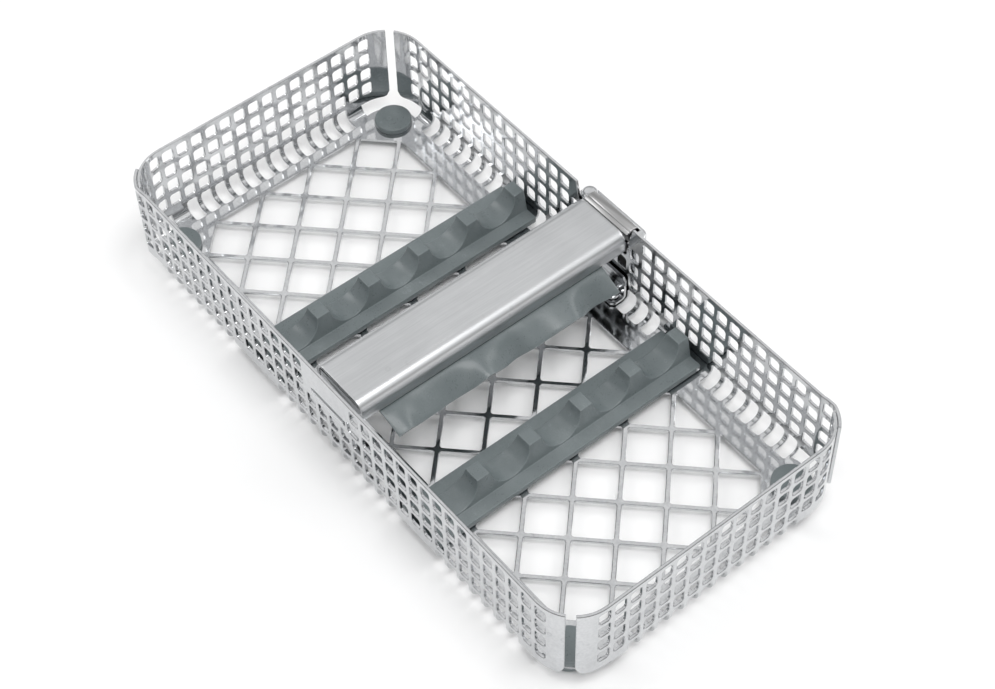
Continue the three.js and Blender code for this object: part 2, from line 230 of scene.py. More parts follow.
def bent_strip(name: str, line: Sequence[Solid], thickness: float, bend: float) -> Object:
    """Makes a strip of sheet, symmetrical about X = 0, that follows a line in Y and Z.

    Args:
        name: the object's name.
        line: points of Y, Z and half width.
        thickness: the sheet's thickness.
        bend: the radius of its bends.

    Returns:
        A closed object.
    """
    path = rounded_line(line, bend)
    sections = []
    for index, (y, z, half) in enumerate(path):
        ahead = Vector(path[min(index + 1, len(path) - 1)][:2])
        behind = Vector(path[max(index - 1, 0)][:2])
        along = (ahead - behind).normalized()
        side = Vector((-along.y, along.x)) * thickness / 2
        outer, inner = Vector((y, z)) + side, Vector((y, z)) - side
        sections.append([
            (-half, outer.x, outer.y), (half, outer.x, outer.y),
            (half, inner.x, inner.y), (-half, inner.x, inner.y),
        ])
    return loft(name, sections)


def block(name: str, low: Sequence[float], high: Sequence[float]) -> Object:
    """Makes a rectangular body between two corners, ready for cutting or bevelling."""
    corners = ((low[0], low[1]), (high[0], low[1]), (high[0], high[1]), (low[0], high[1]))
    return loft(name, [[(x, y, z) for x, y in corners] for z in (low[2], high[2])])


# ---- shader groups and finishes ---------------------------------------------------------------------


class Nodes:
    """A small hand for building node trees."""

    def __init__(self, tree: bpy.types.NodeTree) -> None:
        """Keeps the tree that the nodes go into."""
        self.tree = tree

    def add(self, kind: str, **values: object) -> bpy.types.Node:
        """Adds a node and sets its plain properties."""
        node = self.tree.nodes.new(kind)
        for key, value in values.items():
            setattr(node, key, value)
        return node

    def link(self, source: Socket, target: Socket) -> None:
        """Links one socket to another."""
        self.tree.links.new(source, target)

    def math(self, operation: str, first: object, second: object = 0.0, clamp: bool = False) -> Socket:
        """Adds a Math node on two sockets or numbers and returns its result."""
        node = self.add("ShaderNodeMath", operation=operation, use_clamp=clamp)
        for socket, value in zip(node.inputs, (first, second)):
            if isinstance(value, Socket):
                self.link(value, socket)
            else:
                socket.default_value = value
        return node.outputs[0]

    def noise(self, vector: Socket, scale: object, detail: float = 3.0) -> Socket:
        """Adds a Noise Texture on a vector and returns its value."""
        node = self.add("ShaderNodeTexNoise")
        self.link(vector, node.inputs["Vector"])
        node.inputs["Detail"].default_value = detail
        if isinstance(scale, Socket):
            self.link(scale, node.inputs["Scale"])
        else:
            node.inputs["Scale"].default_value = scale
        return node.outputs["Fac"]

    def ramp(self, value: Socket, low: float, high: float) -> Socket:
        """Maps a value's span from low to high onto 0 to 1."""
        node = self.add("ShaderNodeMapRange")
        self.link(value, node.inputs["Value"])
        node.inputs["From Min"].default_value, node.inputs["From Max"].default_value = low, high
        return node.outputs["Result"]


def new_group(name: str, kind: str, inputs: dict[str, tuple[str, object]], outputs: dict[str, str]) -> Nodes:
    """Starts a node group with named sockets.

    Args:
        name: the group's name.
        kind: the tree's type.
        inputs: socket type and default of each input, None for no default.
        outputs: socket type of each output.

    Returns:
        A hand for its nodes, with an input and an output node already in the tree.
    """
    tree = bpy.data.node_groups.new(name, kind)
    for label, (socket, default) in inputs.items():
        made = tree.interface.new_socket(label, in_out="INPUT", socket_type=socket)
        if default is not None:
            made.default_value = default
    for label, socket in outputs.items():
        tree.interface.new_socket(label, in_out="OUTPUT", socket_type=socket)
    hand = Nodes(tree)
    hand.add("NodeGroupInput")
    hand.add("NodeGroupOutput")
    return hand


def ends(hand: Nodes) -> tuple[bpy.types.Node, bpy.types.Node]:
    """The group input and output nodes of a tree."""
    found = {node.bl_idname: node for node in hand.tree.nodes}
    return found["NodeGroupInput"], found["NodeGroupOutput"]


FINE_SHARE = 0.65  # of the grain that is fine; the rest is coarse
COARSE_SCALE = 0.31  # the coarse grain's scale, as a share of the fine one's
RING_RADIUS = 0.22  # of a dried drop, in cells
RARE_SCALE = 95.0  # how large the areas with drops are


def grain_group() -> bpy.types.NodeTree:
    """Builds the grain group: fine lines or speckle, by how the vector is stretched."""
    number, vector = "NodeSocketFloat", "NodeSocketVector"
    hand = new_group(
        "Grain",
        "ShaderNodeTree",
        {"Vector": (vector, None), "Stretch": (vector, (1.0, 1.0, 1.0)), "Scale": (number, 900.0)},
        {"Grain": number},
    )
    given, out = ends(hand)
    scaled = hand.add("ShaderNodeVectorMath", operation="MULTIPLY")
    hand.link(given.outputs["Vector"], scaled.inputs[0])
    hand.link(given.outputs["Stretch"], scaled.inputs[1])
    fine = hand.noise(scaled.outputs[0], given.outputs["Scale"], 4.0)
    coarse_scale = hand.math("MULTIPLY", given.outputs["Scale"], COARSE_SCALE)
    coarse = hand.noise(scaled.outputs[0], coarse_scale, 2.0)
    coarse_part = hand.math("MULTIPLY", coarse, 1.0 - FINE_SHARE)
    blended = hand.math("ADD", hand.math("MULTIPLY", fine, FINE_SHARE), coarse_part)
    hand.link(hand.ramp(blended, 0.3, 0.7), out.inputs["Grain"])
    return hand.tree


def marks_group() -> bpy.types.NodeTree:
    """Builds the marks group: cloudy wiping smears and small dried water spots."""
    number, vector = "NodeSocketFloat", "NodeSocketVector"
    hand = new_group(
        "Water marks",
        "ShaderNodeTree",
        {"Vector": (vector, None), "Smear Scale": (number, 60.0), "Spot Scale": (number, 260.0)},
        {"Marks": number},
    )
    given, out = ends(hand)
    smear = hand.ramp(hand.noise(given.outputs["Vector"], given.outputs["Smear Scale"], 5.0), 0.42, 0.72)
    spots = hand.add("ShaderNodeTexVoronoi", feature="F1")
    hand.link(given.outputs["Vector"], spots.inputs["Vector"])
    hand.link(given.outputs["Spot Scale"], spots.inputs["Scale"])
    ring = hand.math("SUBTRACT", spots.outputs["Distance"], RING_RADIUS)
    ring = hand.ramp(hand.math("ABSOLUTE", ring), 0.06, 0.0)
    rare = hand.ramp(hand.noise(given.outputs["Vector"], RARE_SCALE, 1.0), 0.58, 0.66)
    total = hand.math("ADD", hand.math("MULTIPLY", smear, 0.7), hand.math("MULTIPLY", ring, rare), clamp=True)
    hand.link(total, out.inputs["Marks"])
    return hand.tree


def edge_group() -> bpy.types.NodeTree:
    """Builds the edge group: a mask that rises on rounded edges, where the finishes lay painted edge light, a
    painted highlight or a painted dark reflection.
    """
    number = "NodeSocketFloat"
    inputs = {"Radius": (number, 0.3 * MM), "Gain": (number, 3.0)}
    hand = new_group("Edge wear", "ShaderNodeTree", inputs, {"Edge": number})
    given, out = ends(hand)
    bevel = hand.add("ShaderNodeBevel", samples=4)
    hand.link(given.outputs["Radius"], bevel.inputs["Radius"])
    flat = hand.add("ShaderNodeNewGeometry")
    dot = hand.add("ShaderNodeVectorMath", operation="DOT_PRODUCT")
    hand.link(bevel.outputs["Normal"], dot.inputs[0])
    hand.link(flat.outputs["Normal"], dot.inputs[1])
    turned = hand.math("SUBTRACT", 1.0, dot.outputs["Value"], clamp=True)
    hand.link(hand.math("MULTIPLY", turned, given.outputs["Gain"], clamp=True), out.inputs["Edge"])
    return hand.tree


class ShaderKit:
    """The shared shader groups, built once."""

    def __init__(self) -> None:
        """Builds every group."""
        self.grain = grain_group()
        self.marks = marks_group()
        self.edge = edge_group()

    def place(self, hand: Nodes, tree: bpy.types.NodeTree, **values: object) -> bpy.types.Node:
        """Places a group in a material with its own values, named by its inputs with _ for a space."""
        node = hand.add("ShaderNodeGroup", node_tree=tree)
        for key, value in values.items():
            socket = node.inputs[key.replace("_", " ")]
            if isinstance(value, Socket):
                hand.link(value, socket)
            else:
                socket.default_value = value
        return node


def blend(hand: Nodes, mask: Socket, first: object, second: Solid) -> Socket:
    """Mixes a colour, or a colour socket, with a second colour by a mask."""
    node = hand.add("ShaderNodeMix", data_type="RGBA")
    hand.link(mask, node.inputs[0])
    if isinstance(first, Socket):
        hand.link(first, node.inputs[6])
    else:
        node.inputs[6].default_value = (*first, 1.0)
    node.inputs[7].default_value = (*second, 1.0)
    return node.outputs[2]


@dataclass(frozen=True)
class Steel:
    """A stainless finish: how bright it is, how fine its grain, how marked its surface, and the painted light
    on its rounded edges.
    """

    name: str
    colour: Solid
    shade: Solid
    # edge: painted light on rounded edges, a painted highlight when pale and a painted dark reflection when
    # dark
    edge: Solid
    roughness: float
    rough_range: float
    stretch: Solid
    grain_scale: float
    grain_height: float
    ripple_height: float
    ripple_scale: float = 55.0
    grain_share: float = 0.45
    marks_share: float = 0.4

    def build(self, kit: ShaderKit) -> bpy.types.Material:
        """Makes the material from the shared groups."""
        material = bpy.data.materials.new(self.name)
        material.use_nodes = True
        hand = Nodes(material.node_tree)
        shader = material.node_tree.nodes["Principled BSDF"]
        place = hand.add("ShaderNodeTexCoord").outputs["Object"]
        grain_node = kit.place(hand, kit.grain, Vector=place, Stretch=self.stretch, Scale=self.grain_scale)
        grain = grain_node.outputs[0]
        marks = kit.place(hand, kit.marks, Vector=place).outputs[0]
        edge = kit.place(hand, kit.edge).outputs[0]
        grain_part = hand.math("MULTIPLY", grain, self.grain_share)
        marks_part = hand.math("MULTIPLY", marks, self.marks_share)
        tone = hand.math("ADD", grain_part, marks_part, clamp=True)
        surface = blend(hand, tone, self.colour, self.shade)
        # On rounded edges the edge colour is laid over the surface: painted edge light, not wear
        hand.link(blend(hand, edge, surface, self.edge), shader.inputs["Base Color"])
        spread = hand.math("MULTIPLY", tone, self.rough_range)
        hand.link(hand.math("ADD", spread, self.roughness), shader.inputs["Roughness"])
        shader.inputs["Metallic"].default_value = 1.0
        ripple = hand.add("ShaderNodeBump")
        ripple.inputs["Strength"].default_value = 1.0
        ripple.inputs["Distance"].default_value = self.ripple_height
        hand.link(hand.noise(place, self.ripple_scale, 1.0), ripple.inputs["Height"])
        bump = hand.add("ShaderNodeBump")
        bump.inputs["Strength"].default_value = 1.0
        bump.inputs["Distance"].default_value = self.grain_height
        hand.link(grain, bump.inputs["Height"])
        hand.link(ripple.outputs["Normal"], bump.inputs["Normal"])
        hand.link(bump.outputs["Normal"], shader.inputs["Normal"])
        return material


@dataclass(frozen=True)
class Silicone:
    """A satin moulded silicone with a fine matt texture, pale dust, and a painted highlight that makes its
    edges paler.
    """

    name: str
    colour: Solid
    # pale: the colour of the dust and of the painted highlight on the edges
    pale: Solid
    roughness: float
    texture_height: float
    speckle_scale: float = 2600.0
    smear_scale: float = 90.0
    spot_scale: float = 420.0
    # the edge values shape the painted highlight on the edges
    edge_radius: float = 0.45 * MM
    edge_gain: float = 2.2
    edge_highlight_share: float = 0.9
    dust_share: float = 0.35
    specular: float = 0.55

    def build(self, kit: ShaderKit) -> bpy.types.Material:
        """Makes the material from the shared groups."""
        material = bpy.data.materials.new(self.name)
        material.use_nodes = True
        hand = Nodes(material.node_tree)
        shader = material.node_tree.nodes["Principled BSDF"]
        place = hand.add("ShaderNodeTexCoord").outputs["Object"]
        speckle = kit.place(hand, kit.grain, Vector=place, Scale=self.speckle_scale).outputs[0]
        marks_node = kit.place(
            hand, kit.marks, Vector=place, Smear_Scale=self.smear_scale, Spot_Scale=self.spot_scale
        )
        marks = marks_node.outputs[0]
        # The edges go paler as a painted highlight; the dust that shares the pale colour is real
        edge = kit.place(hand, kit.edge, Radius=self.edge_radius, Gain=self.edge_gain).outputs[0]
        dust = hand.math("MULTIPLY", hand.math("MULTIPLY", marks, speckle), self.dust_share)
        pale = hand.math("ADD", hand.math("MULTIPLY", edge, self.edge_highlight_share), dust, clamp=True)
        hand.link(blend(hand, pale, self.colour, self.pale), shader.inputs["Base Color"])
        rough = hand.math("MULTIPLY", hand.math("SUBTRACT", speckle, 0.5), 0.12)
        rough = hand.math("ADD", rough, hand.math("MULTIPLY", marks, 0.1))
        hand.link(hand.math("ADD", rough, self.roughness), shader.inputs["Roughness"])
        shader.inputs["Specular IOR Level"].default_value = self.specular
        bump = hand.add("ShaderNodeBump")
        bump.inputs["Distance"].default_value = self.texture_height
        hand.link(speckle, bump.inputs["Height"])
        hand.link(bump.outputs["Normal"], shader.inputs["Normal"])
        return material


POLISHED_SHEET = Steel(
    name="polished sheet",
    colour=(0.68, 0.69, 0.7),
    shade=(0.42, 0.43, 0.445),
    # painted dark reflection along the rounded edges
    edge=(0.16, 0.165, 0.17),
    roughness=0.05,
    rough_range=0.09,
    stretch=(1.0, 1.0, 1.0),
    grain_scale=1500.0,
    grain_height=0.002 * MM,
    ripple_height=0.009 * MM,
)
BRUSHED_BAR = Steel(
    name="brushed bar",
    colour=(0.66, 0.67, 0.68),
    shade=(0.47, 0.48, 0.49),
    # painted highlight along the rounded edges
    edge=(0.84, 0.845, 0.85),
    roughness=0.27,
    rough_range=0.16,
    stretch=(1.0, 0.035, 1.0),
    grain_scale=2600.0,
    grain_height=0.006 * MM,
    ripple_height=0.01 * MM,
)
SPRING_LEAF = Steel(
    name="spring leaf",
    colour=(0.5, 0.5, 0.5),
    shade=(0.33, 0.33, 0.33),
    # painted highlight along the rounded edges
    edge=(0.62, 0.62, 0.62),
    roughness=0.26,
    rough_range=0.14,
    stretch=(0.05, 1.0, 1.0),
    grain_scale=2400.0,
    grain_height=0.004 * MM,
    ripple_height=0.01 * MM,
)
GREY_SILICONE = Silicone(
    name="grey silicone",
    colour=(0.135, 0.16, 0.165),
    # pale: dust and the painted highlight on the edges
    pale=(0.36, 0.4, 0.405),
    roughness=0.3,
    texture_height=0.006 * MM,
)


class Wardrobe:
    """The finished materials, by slot."""

    def __init__(self) -> None:
        """Builds each finish once."""
        kit = ShaderKit()
        self.finishes = {
            Slot.POLISHED: POLISHED_SHEET.build(kit),
            Slot.BRUSHED: BRUSHED_BAR.build(kit),
            Slot.SPRING: SPRING_LEAF.build(kit),
            Slot.SILICONE: GREY_SILICONE.build(kit),
        }

    def dress(self, obj: Object, slot: Slot, body: str, *nodes: str) -> Object:
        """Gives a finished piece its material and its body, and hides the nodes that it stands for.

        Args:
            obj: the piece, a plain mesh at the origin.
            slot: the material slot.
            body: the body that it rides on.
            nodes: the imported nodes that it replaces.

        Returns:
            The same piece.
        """
        obj.data.materials.clear()
        obj.data.materials.append(self.finishes[slot])
        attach(obj, body)
        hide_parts(*nodes)
        log.info("%s: %d faces, rides on %s", obj.name, len(obj.data.polygons), body)
        return obj


# ---- repeated cells ---------------------------------------------------------------------------------


def cell_tree() -> bpy.types.NodeTree:
    """Builds the Geometry Nodes tree that lays open and plain cells of sheet on a grid and welds them."""
    number = "NodeSocketFloat"
    hand = new_group(
        "Sheet cells",
        "GeometryNodeTree",
        {
            "Places": ("NodeSocketGeometry", None),
            "Open Cell": ("NodeSocketObject", None),
            "Plain Cell": ("NodeSocketObject", None),
            "Pitch Along": (number, 1.0),
            "Pitch Up": (number, 1.0),
            "Weld Distance": (number, WELD),
            "Finish": ("NodeSocketMaterial", None),
        },
        {"Sheet": "NodeSocketGeometry"},
    )
    given, out = ends(hand)
    pitch = hand.add("ShaderNodeCombineXYZ")
    hand.link(given.outputs["Pitch Along"], pitch.inputs[0])
    hand.link(given.outputs["Pitch Up"], pitch.inputs[1])
    spaced = hand.add("ShaderNodeVectorMath", operation="MULTIPLY")
    hand.link(hand.add("GeometryNodeInputPosition").outputs[0], spaced.inputs[0])
    hand.link(pitch.outputs[0], spaced.inputs[1])
    spread = hand.add("GeometryNodeSetPosition")
    hand.link(given.outputs["Places"], spread.inputs["Geometry"])
    hand.link(spaced.outputs[0], spread.inputs["Position"])
    plain = hand.add("GeometryNodeInputNamedAttribute", data_type="BOOLEAN")
    plain.inputs["Name"].default_value = "plain"
    is_open = hand.add("FunctionNodeBooleanMath", operation="NOT")
    hand.link(plain.outputs["Attribute"], is_open.inputs[0])
    turn = hand.add("GeometryNodeInputNamedAttribute", data_type="FLOAT")
    turn.inputs["Name"].default_value = "turn"
    angles = hand.add("ShaderNodeCombineXYZ")
    hand.link(turn.outputs["Attribute"], angles.inputs[2])
    rotation = hand.add("FunctionNodeEulerToRotation")
    hand.link(angles.outputs[0], rotation.inputs[0])
    both = hand.add("GeometryNodeJoinGeometry")
    for label, chosen in (("Open Cell", is_open.outputs[0]), ("Plain Cell", plain.outputs["Attribute"])):
        cell = hand.add("GeometryNodeObjectInfo")
        hand.link(given.outputs[label], cell.inputs["Object"])
        laid = hand.add("GeometryNodeInstanceOnPoints")
        hand.link(spread.outputs[0], laid.inputs["Points"])
        hand.link(chosen, laid.inputs["Selection"])
        hand.link(cell.outputs["Geometry"], laid.inputs["Instance"])
        hand.link(rotation.outputs[0], laid.inputs["Rotation"])
        hand.link(laid.outputs[0], both.inputs[0])
    real = hand.add("GeometryNodeRealizeInstances")
    hand.link(both.outputs[0], real.inputs[0])
    weld = hand.add("GeometryNodeMergeByDistance")
    hand.link(real.outputs[0], weld.inputs["Geometry"])
    hand.link(given.outputs["Weld Distance"], weld.inputs["Distance"])
    painted = hand.add("GeometryNodeSetMaterial")
    hand.link(weld.outputs[0], painted.inputs["Geometry"])
    hand.link(given.outputs["Finish"], painted.inputs["Material"])
    hand.link(painted.outputs[0], out.inputs["Sheet"])
    return hand.tree


@dataclass(frozen=True)
class Cell:
    """One place on a cell grid, in pitches, and what lies there."""

    along: float
    up: float
    plain: bool = False
    turn: float = 0.0


class CellLayer:
    """Lays cells with the shared tree and gives back the flat sheet's points and faces."""

    def __init__(self, finish: bpy.types.Material) -> None:
        """Builds the tree once."""
        self.tree = cell_tree()
        self.finish = finish

    def lay(
        self, cells: Sequence[Cell], tiles: tuple[Object, Object], pitch: Plan
    ) -> bmesh.types.BMesh:
        """Lays the cells.

        Args:
            cells: the places.
            tiles: the open and the plain tile, each about its own middle.
            pitch: the grid's pitch along and up, in metres.

        Returns:
            The flat, welded sheet.
        """
        grid = mesh_object("places", [(cell.along, cell.up, 0.0) for cell in cells], [])
        plain = grid.data.attributes.new("plain", "BOOLEAN", "POINT")
        plain.data.foreach_set("value", [cell.plain for cell in cells])
        turn = grid.data.attributes.new("turn", "FLOAT", "POINT")
        turn.data.foreach_set("value", [cell.turn for cell in cells])
        modifier = grid.modifiers.new("Cells", "NODES")
        modifier.node_group = self.tree
        values = {
            "Open Cell": tiles[0],
            "Plain Cell": tiles[1],
            "Pitch Along": pitch[0],
            "Pitch Up": pitch[1],
            "Weld Distance": WELD,
            "Finish": self.finish,
        }
        for label, value in values.items():
            modifier[self.tree.interface.items_tree[label].identifier] = value
        graph = bpy.context.evaluated_depsgraph_get()
        mesh = bpy.data.meshes.new_from_object(grid.evaluated_get(graph))
        grid.modifiers.clear()
        sheet = bmesh.new()
        sheet.from_mesh(mesh)
        bpy.data.objects.remove(grid)
        bpy.data.meshes.remove(mesh)
        return sheet


def grid_faces(columns: Sequence[float], rows: Sequence[float]) -> tuple[list[Solid], list[tuple[int, ...]]]:
    """Points and faces of a flat grid with the given columns and rows."""
    points = [(x, y, 0.0) for y in rows for x in columns]
    count = len(columns)
    faces = [
        (r * count + c, r * count + c + 1, (r + 1) * count + c + 1, (r + 1) * count + c)
        for r in range(len(rows) - 1)
        for c in range(count - 1)
    ]
    return points, faces


ARC_STEPS = 4  # stretches in a hole's rounded corner
LEAD = 0.6  # how far, in corner radii, the cell edge's points lie beyond the corner's start


@dataclass(frozen=True)
class OpenTile:
    """A cell of sheet with a rounded rectangular hole, as a ring of faces."""

    width: float
    low: float
    high: float
    hole_width: float
    hole_low: float
    hole_high: float
    radius: float
    between: tuple[float, ...] = ()

    def columns(self) -> list[float]:
        """Places across the cell where its edges have points."""
        start = self.hole_width / 2 - self.radius
        half = [start, start + LEAD * self.radius, self.width / 2]
        return [-x for x in reversed(half)] + half

    def rows(self) -> list[float]:
        """Heights where the cell's sides have points, from the bottom up."""
        low, high, lead = self.hole_low + self.radius, self.hole_high - self.radius, LEAD * self.radius
        return [self.low, low - lead, low, *sorted(self.between), high, high + lead, self.high]

    def corner(self, sx: int, sy: int) -> list[tuple[Plan, Plan]]:
        """Pairs of hole and cell points round one corner, from the side to the top or bottom."""
        cx = sx * (self.hole_width / 2 - self.radius)
        cy = self.hole_high - self.radius if sy > 0 else self.hole_low + self.radius
        edge_x, edge_y = sx * self.width / 2, self.high if sy > 0 else self.low
        lead = LEAD * self.radius
        outer = [
            (edge_x, cy), (edge_x, cy + sy * lead), (edge_x, edge_y),
            (cx + sx * lead, edge_y), (cx, edge_y),
        ]
        pairs = []
        for k, cell_point in enumerate(outer):
            a = math.pi / 2 * k / ARC_STEPS
            hole_point = (cx + sx * self.radius * math.cos(a), cy + sy * self.radius * math.sin(a))
            pairs.append((hole_point, cell_point))
        return pairs

    def build(self, name: str) -> Object:
        """Makes the tile's flat mesh."""
        half, side = self.hole_width / 2, self.width / 2
        pairs = self.corner(1, 1) + self.corner(-1, 1)[::-1]
        pairs += [((-half, y), (-side, y)) for y in sorted(self.between, reverse=True)]
        pairs += self.corner(-1, -1) + self.corner(1, -1)[::-1]
        pairs += [((half, y), (side, y)) for y in sorted(self.between)]
        points = [(*point, 0.0) for pair in pairs for point in pair]
        count = len(pairs)
        faces = [(2 * k, 2 * k + 1, 2 * ((k + 1) % count) + 1, 2 * ((k + 1) % count)) for k in range(count)]
        return mesh_object(name, points, faces)

    def build_plain(self, name: str) -> Object:
        """Makes the same cell without its hole."""
        return mesh_object(name, *grid_faces(self.columns(), self.rows()))


@dataclass(frozen=True)
class LatticeTile:
    """A square cell of the floor lattice, crossed by one bar from corner to corner."""

    size: float
    bar: float
    fillet: float

    @property
    def reach(self) -> float:
        """How far from a crossing the sheet runs along the cell's edge."""
        return self.bar / math.sqrt(2) + self.fillet * (math.sqrt(2) - 1)

    def side(self) -> list[Plan]:
        """The bar's lower right edge, from the lower left crossing to the upper right one."""
        centre = self.bar / math.sqrt(2) + self.fillet * math.sqrt(2)
        start = []
        for degrees in (180.0, 157.5, 135.0):
            a = math.radians(degrees)
            start.append((centre + self.fillet * math.cos(a), self.fillet * math.sin(a)))
        middle = ((self.size + self.bar / math.sqrt(2)) / 2, (self.size - self.bar / math.sqrt(2)) / 2)
        end = [(self.size - y, self.size - x) for x, y in reversed(start)]
        return [*start, middle, *end]

    def build(self, name: str) -> Object:
        """Makes the tile's flat mesh about its own middle."""
        right = self.side()
        left = [(y, x) for x, y in right]
        spine = [((a[0] + b[0]) / 2, (a[1] + b[1]) / 2) for a, b in zip(right, left)]
        spine[0], spine[-1] = (0.0, 0.0), (self.size, self.size)
        half, count = self.size / 2, len(right)
        points = [(x - half, y - half, 0.0) for x, y in (*spine, *right, *left)]
        faces = []
        for k in range(count - 1):
            faces.append((k, count + k, count + k + 1, k + 1))
            faces.append((k, k + 1, 2 * count + k + 1, 2 * count + k))
        return mesh_object(name, points, faces)


# ---- basket -----------------------------------------------------------------------------------------


@dataclass(frozen=True)
class TrayPlace:
    """Where the tray's main faces lie, in metres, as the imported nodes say."""

    half_length: float
    half_width: float
    middle_y: float
    rim_z: float
    floor_z: float

    @classmethod
    def read(cls) -> "TrayPlace":
        """Reads the walls' and the floor's boxes."""
        near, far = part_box("near_wall")[0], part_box("far_wall")[1]
        return cls(
            half_length=(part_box("right_end_wall")[1].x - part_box("left_end_wall")[0].x) / 2,
            half_width=(far.y - near.y) / 2,
            middle_y=(far.y + near.y) / 2,
            rim_z=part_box("near_wall")[1].z,
            floor_z=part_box("floor_panel")[0].z,
        )


@dataclass(frozen=True)
class WallPlan:
    """One wall's own figures: its columns of holes, its bend slots and its wings.

    Columns are counted along the wall seen from outside, and the first one is at the wall's left end.
    """

    side: Side
    half_straight: float
    half_across: float
    first_column: float
    columns: int
    band: tuple[int, int]
    slots: tuple[int, int]
    wing_start: float
    wing_end: float
    lapped: bool


@dataclass
class Basket:
    """The perforated sheet basket: floor lattice, four folded walls and their wings, as one sheet."""

    place: TrayPlace
    layer: CellLayer
    wardrobe: Wardrobe
    sheet: float = 0.85 * MM
    corner_radius: float = 12 * MM
    bend_radius: float = 3.2 * MM
    pitch_along: float = 4.7 * MM
    pitch_up: float = 5.6 * MM
    hole_width: float = 3.4 * MM
    hole_height: float = 4.2 * MM
    hole_radius: float = 0.8 * MM
    rows: int = 4
    rim_band: float = 0.9 * MM
    slot_start: float = 0.8 * MM  # below the last row's cells
    slot_reach: float = 5.1 * MM  # from the wall's outside into the floor
    slot_border: float = 0.9 * MM
    bend_steps: int = 6
    open_wing: float = math.radians(39)
    outer_wing: float = math.radians(50)
    inner_wing: float = math.radians(62)
    lap: float = 0.95 * MM
    lap_ramp: float = 4.5 * MM
    lattice_cell: float = 8.35 * MM
    lattice_bar: float = 1.2 * MM
    lattice_fillet: float = 0.7 * MM
    lattice_along: int = 10  # half diamonds either side of the middle
    lattice_across: int = 4
    rack_x: float = 33.4 * MM
    rack_clear: float = 7.9 * MM
    bracket_clear: float = 12 * MM
    slit_half: float = 7.05 * MM
    slit_low: float = 20.45 * MM  # above the surface that the tray stands on
    slit_high: float = 22.2 * MM
    slit_plain: float = 11 * MM
    notch_plain: float = 13 * MM
    notch_half: float = 9.9 * MM
    notch_flare: float = 1.3 * MM
    long_first: float = -82.9 * MM  # the first column of a long wall
    end_first: float = -34.5 * MM
    lobe_steps: int = 10
    wing_step: float = 0.9 * MM
    edge: float = 0.12 * MM

    def __post_init__(self) -> None:
        """Works out the levels that the walls share."""
        self.drop = self.place.rim_z - self.place.floor_z - self.bend_radius
        self.skirt_top = self.rim_band + self.rows * self.pitch_up
        bend = self.bend_radius * math.pi / 2
        self.slot_end = self.drop + bend + self.slot_reach - self.bend_radius
        self.band_end = self.slot_end + self.slot_border
        self.hole_tile = OpenTile(
            self.pitch_along, -self.pitch_up / 2, self.pitch_up / 2,
            self.hole_width, -self.hole_height / 2, self.hole_height / 2, self.hole_radius,
        )
        levels = [-self.drop - bend * k / self.bend_steps for k in range(self.bend_steps + 1)]
        self.slot_tile = OpenTile(
            self.pitch_along, -self.band_end, -self.skirt_top,
            self.hole_width, -self.slot_end, -self.skirt_top - self.slot_start, self.hole_radius,
            tuple(levels),
        )
        self.lattice_tile = LatticeTile(self.lattice_cell, self.lattice_bar, self.lattice_fillet)

    def wall_plans(self) -> list[WallPlan]:
        """The four walls; opposite walls are alike, turned half round."""
        long_half = self.place.half_length - self.corner_radius
        end_half = self.place.half_width - self.corner_radius
        plans = []
        for side in (Side.NEAR, Side.FAR):
            plans.append(
                WallPlan(
                    side=side, half_straight=long_half, half_across=self.place.half_width,
                    first_column=self.long_first, columns=36, band=(2, 34), slots=(2, 33),
                    wing_start=-long_half - self.corner_radius * self.outer_wing,
                    wing_end=long_half + self.corner_radius * self.open_wing, lapped=True,
                )
            )
        for side in (Side.RIGHT, Side.LEFT):
            plans.append(
                WallPlan(
                    side=side, half_straight=end_half, half_across=self.place.half_length,
                    first_column=self.end_first, columns=16, band=(1, 14), slots=(2, 13),
                    wing_start=-end_half - self.corner_radius * self.open_wing,
                    wing_end=end_half + self.corner_radius * self.inner_wing, lapped=False,
                )
            )
        return plans

    def column_place(self, plan: WallPlan, column: int) -> float:
        """A column's middle, along the wall."""
        return plan.first_column + column * self.pitch_along

    def has_slot(self, plan: WallPlan, column: int) -> bool:
        """Whether a column ends in a bend slot."""
        if not plan.slots[0] <= column <= plan.slots[1]:
            return False
        if plan.side in (Side.LEFT, Side.RIGHT):
            return True
        along = abs(self.column_place(plan, column))
        if plan.side is Side.FAR and along < self.bracket_clear:
            return False
        return abs(along - self.rack_x) >= self.rack_clear

    def hole_cells(self, plan: WallPlan) -> list[Cell]:
        """The perforation's cells, plain round the hinge slit and the bar's notch."""
        first = plan.first_column / self.pitch_along
        top = -(self.rim_band + self.pitch_up / 2) / self.pitch_up
        cells = []
        for column in range(plan.columns):
            along = abs(self.column_place(plan, column))
            for row in range(self.rows):
                plain = plan.side is Side.NEAR and along < self.slit_plain and row < 2
                plain |= plan.side is Side.FAR and along < self.notch_plain and row == 0
                plain |= plan.side is Side.FAR and along < self.slit_plain and row == 3
                cells.append(Cell(first + column, top - row, plain))
        return cells

    def wing_rows(self) -> list[float]:
        """Heights of a wing's points, from the rim down to its bottom edge."""
        rows = [0.0]
        for row in range(self.rows):
            middle = -(self.rim_band + (row + 0.5) * self.pitch_up)
            rows += [middle + y for y in reversed(self.hole_tile.rows())]
        rows += [y for y in reversed(self.slot_tile.rows()) if y >= -self.drop - WELD]
        return sorted({round(y / WELD): y for y in rows}.values(), reverse=True)

    def rim_columns(self, plan: WallPlan) -> list[float]:
        """Places along the wall where the perforation's cells have points."""
        out = []
        for column in range(plan.columns):
            middle = self.column_place(plan, column)
            out += [middle + x for x in self.hole_tile.columns()]
        return sorted({round(x / WELD): x for x in out}.values())

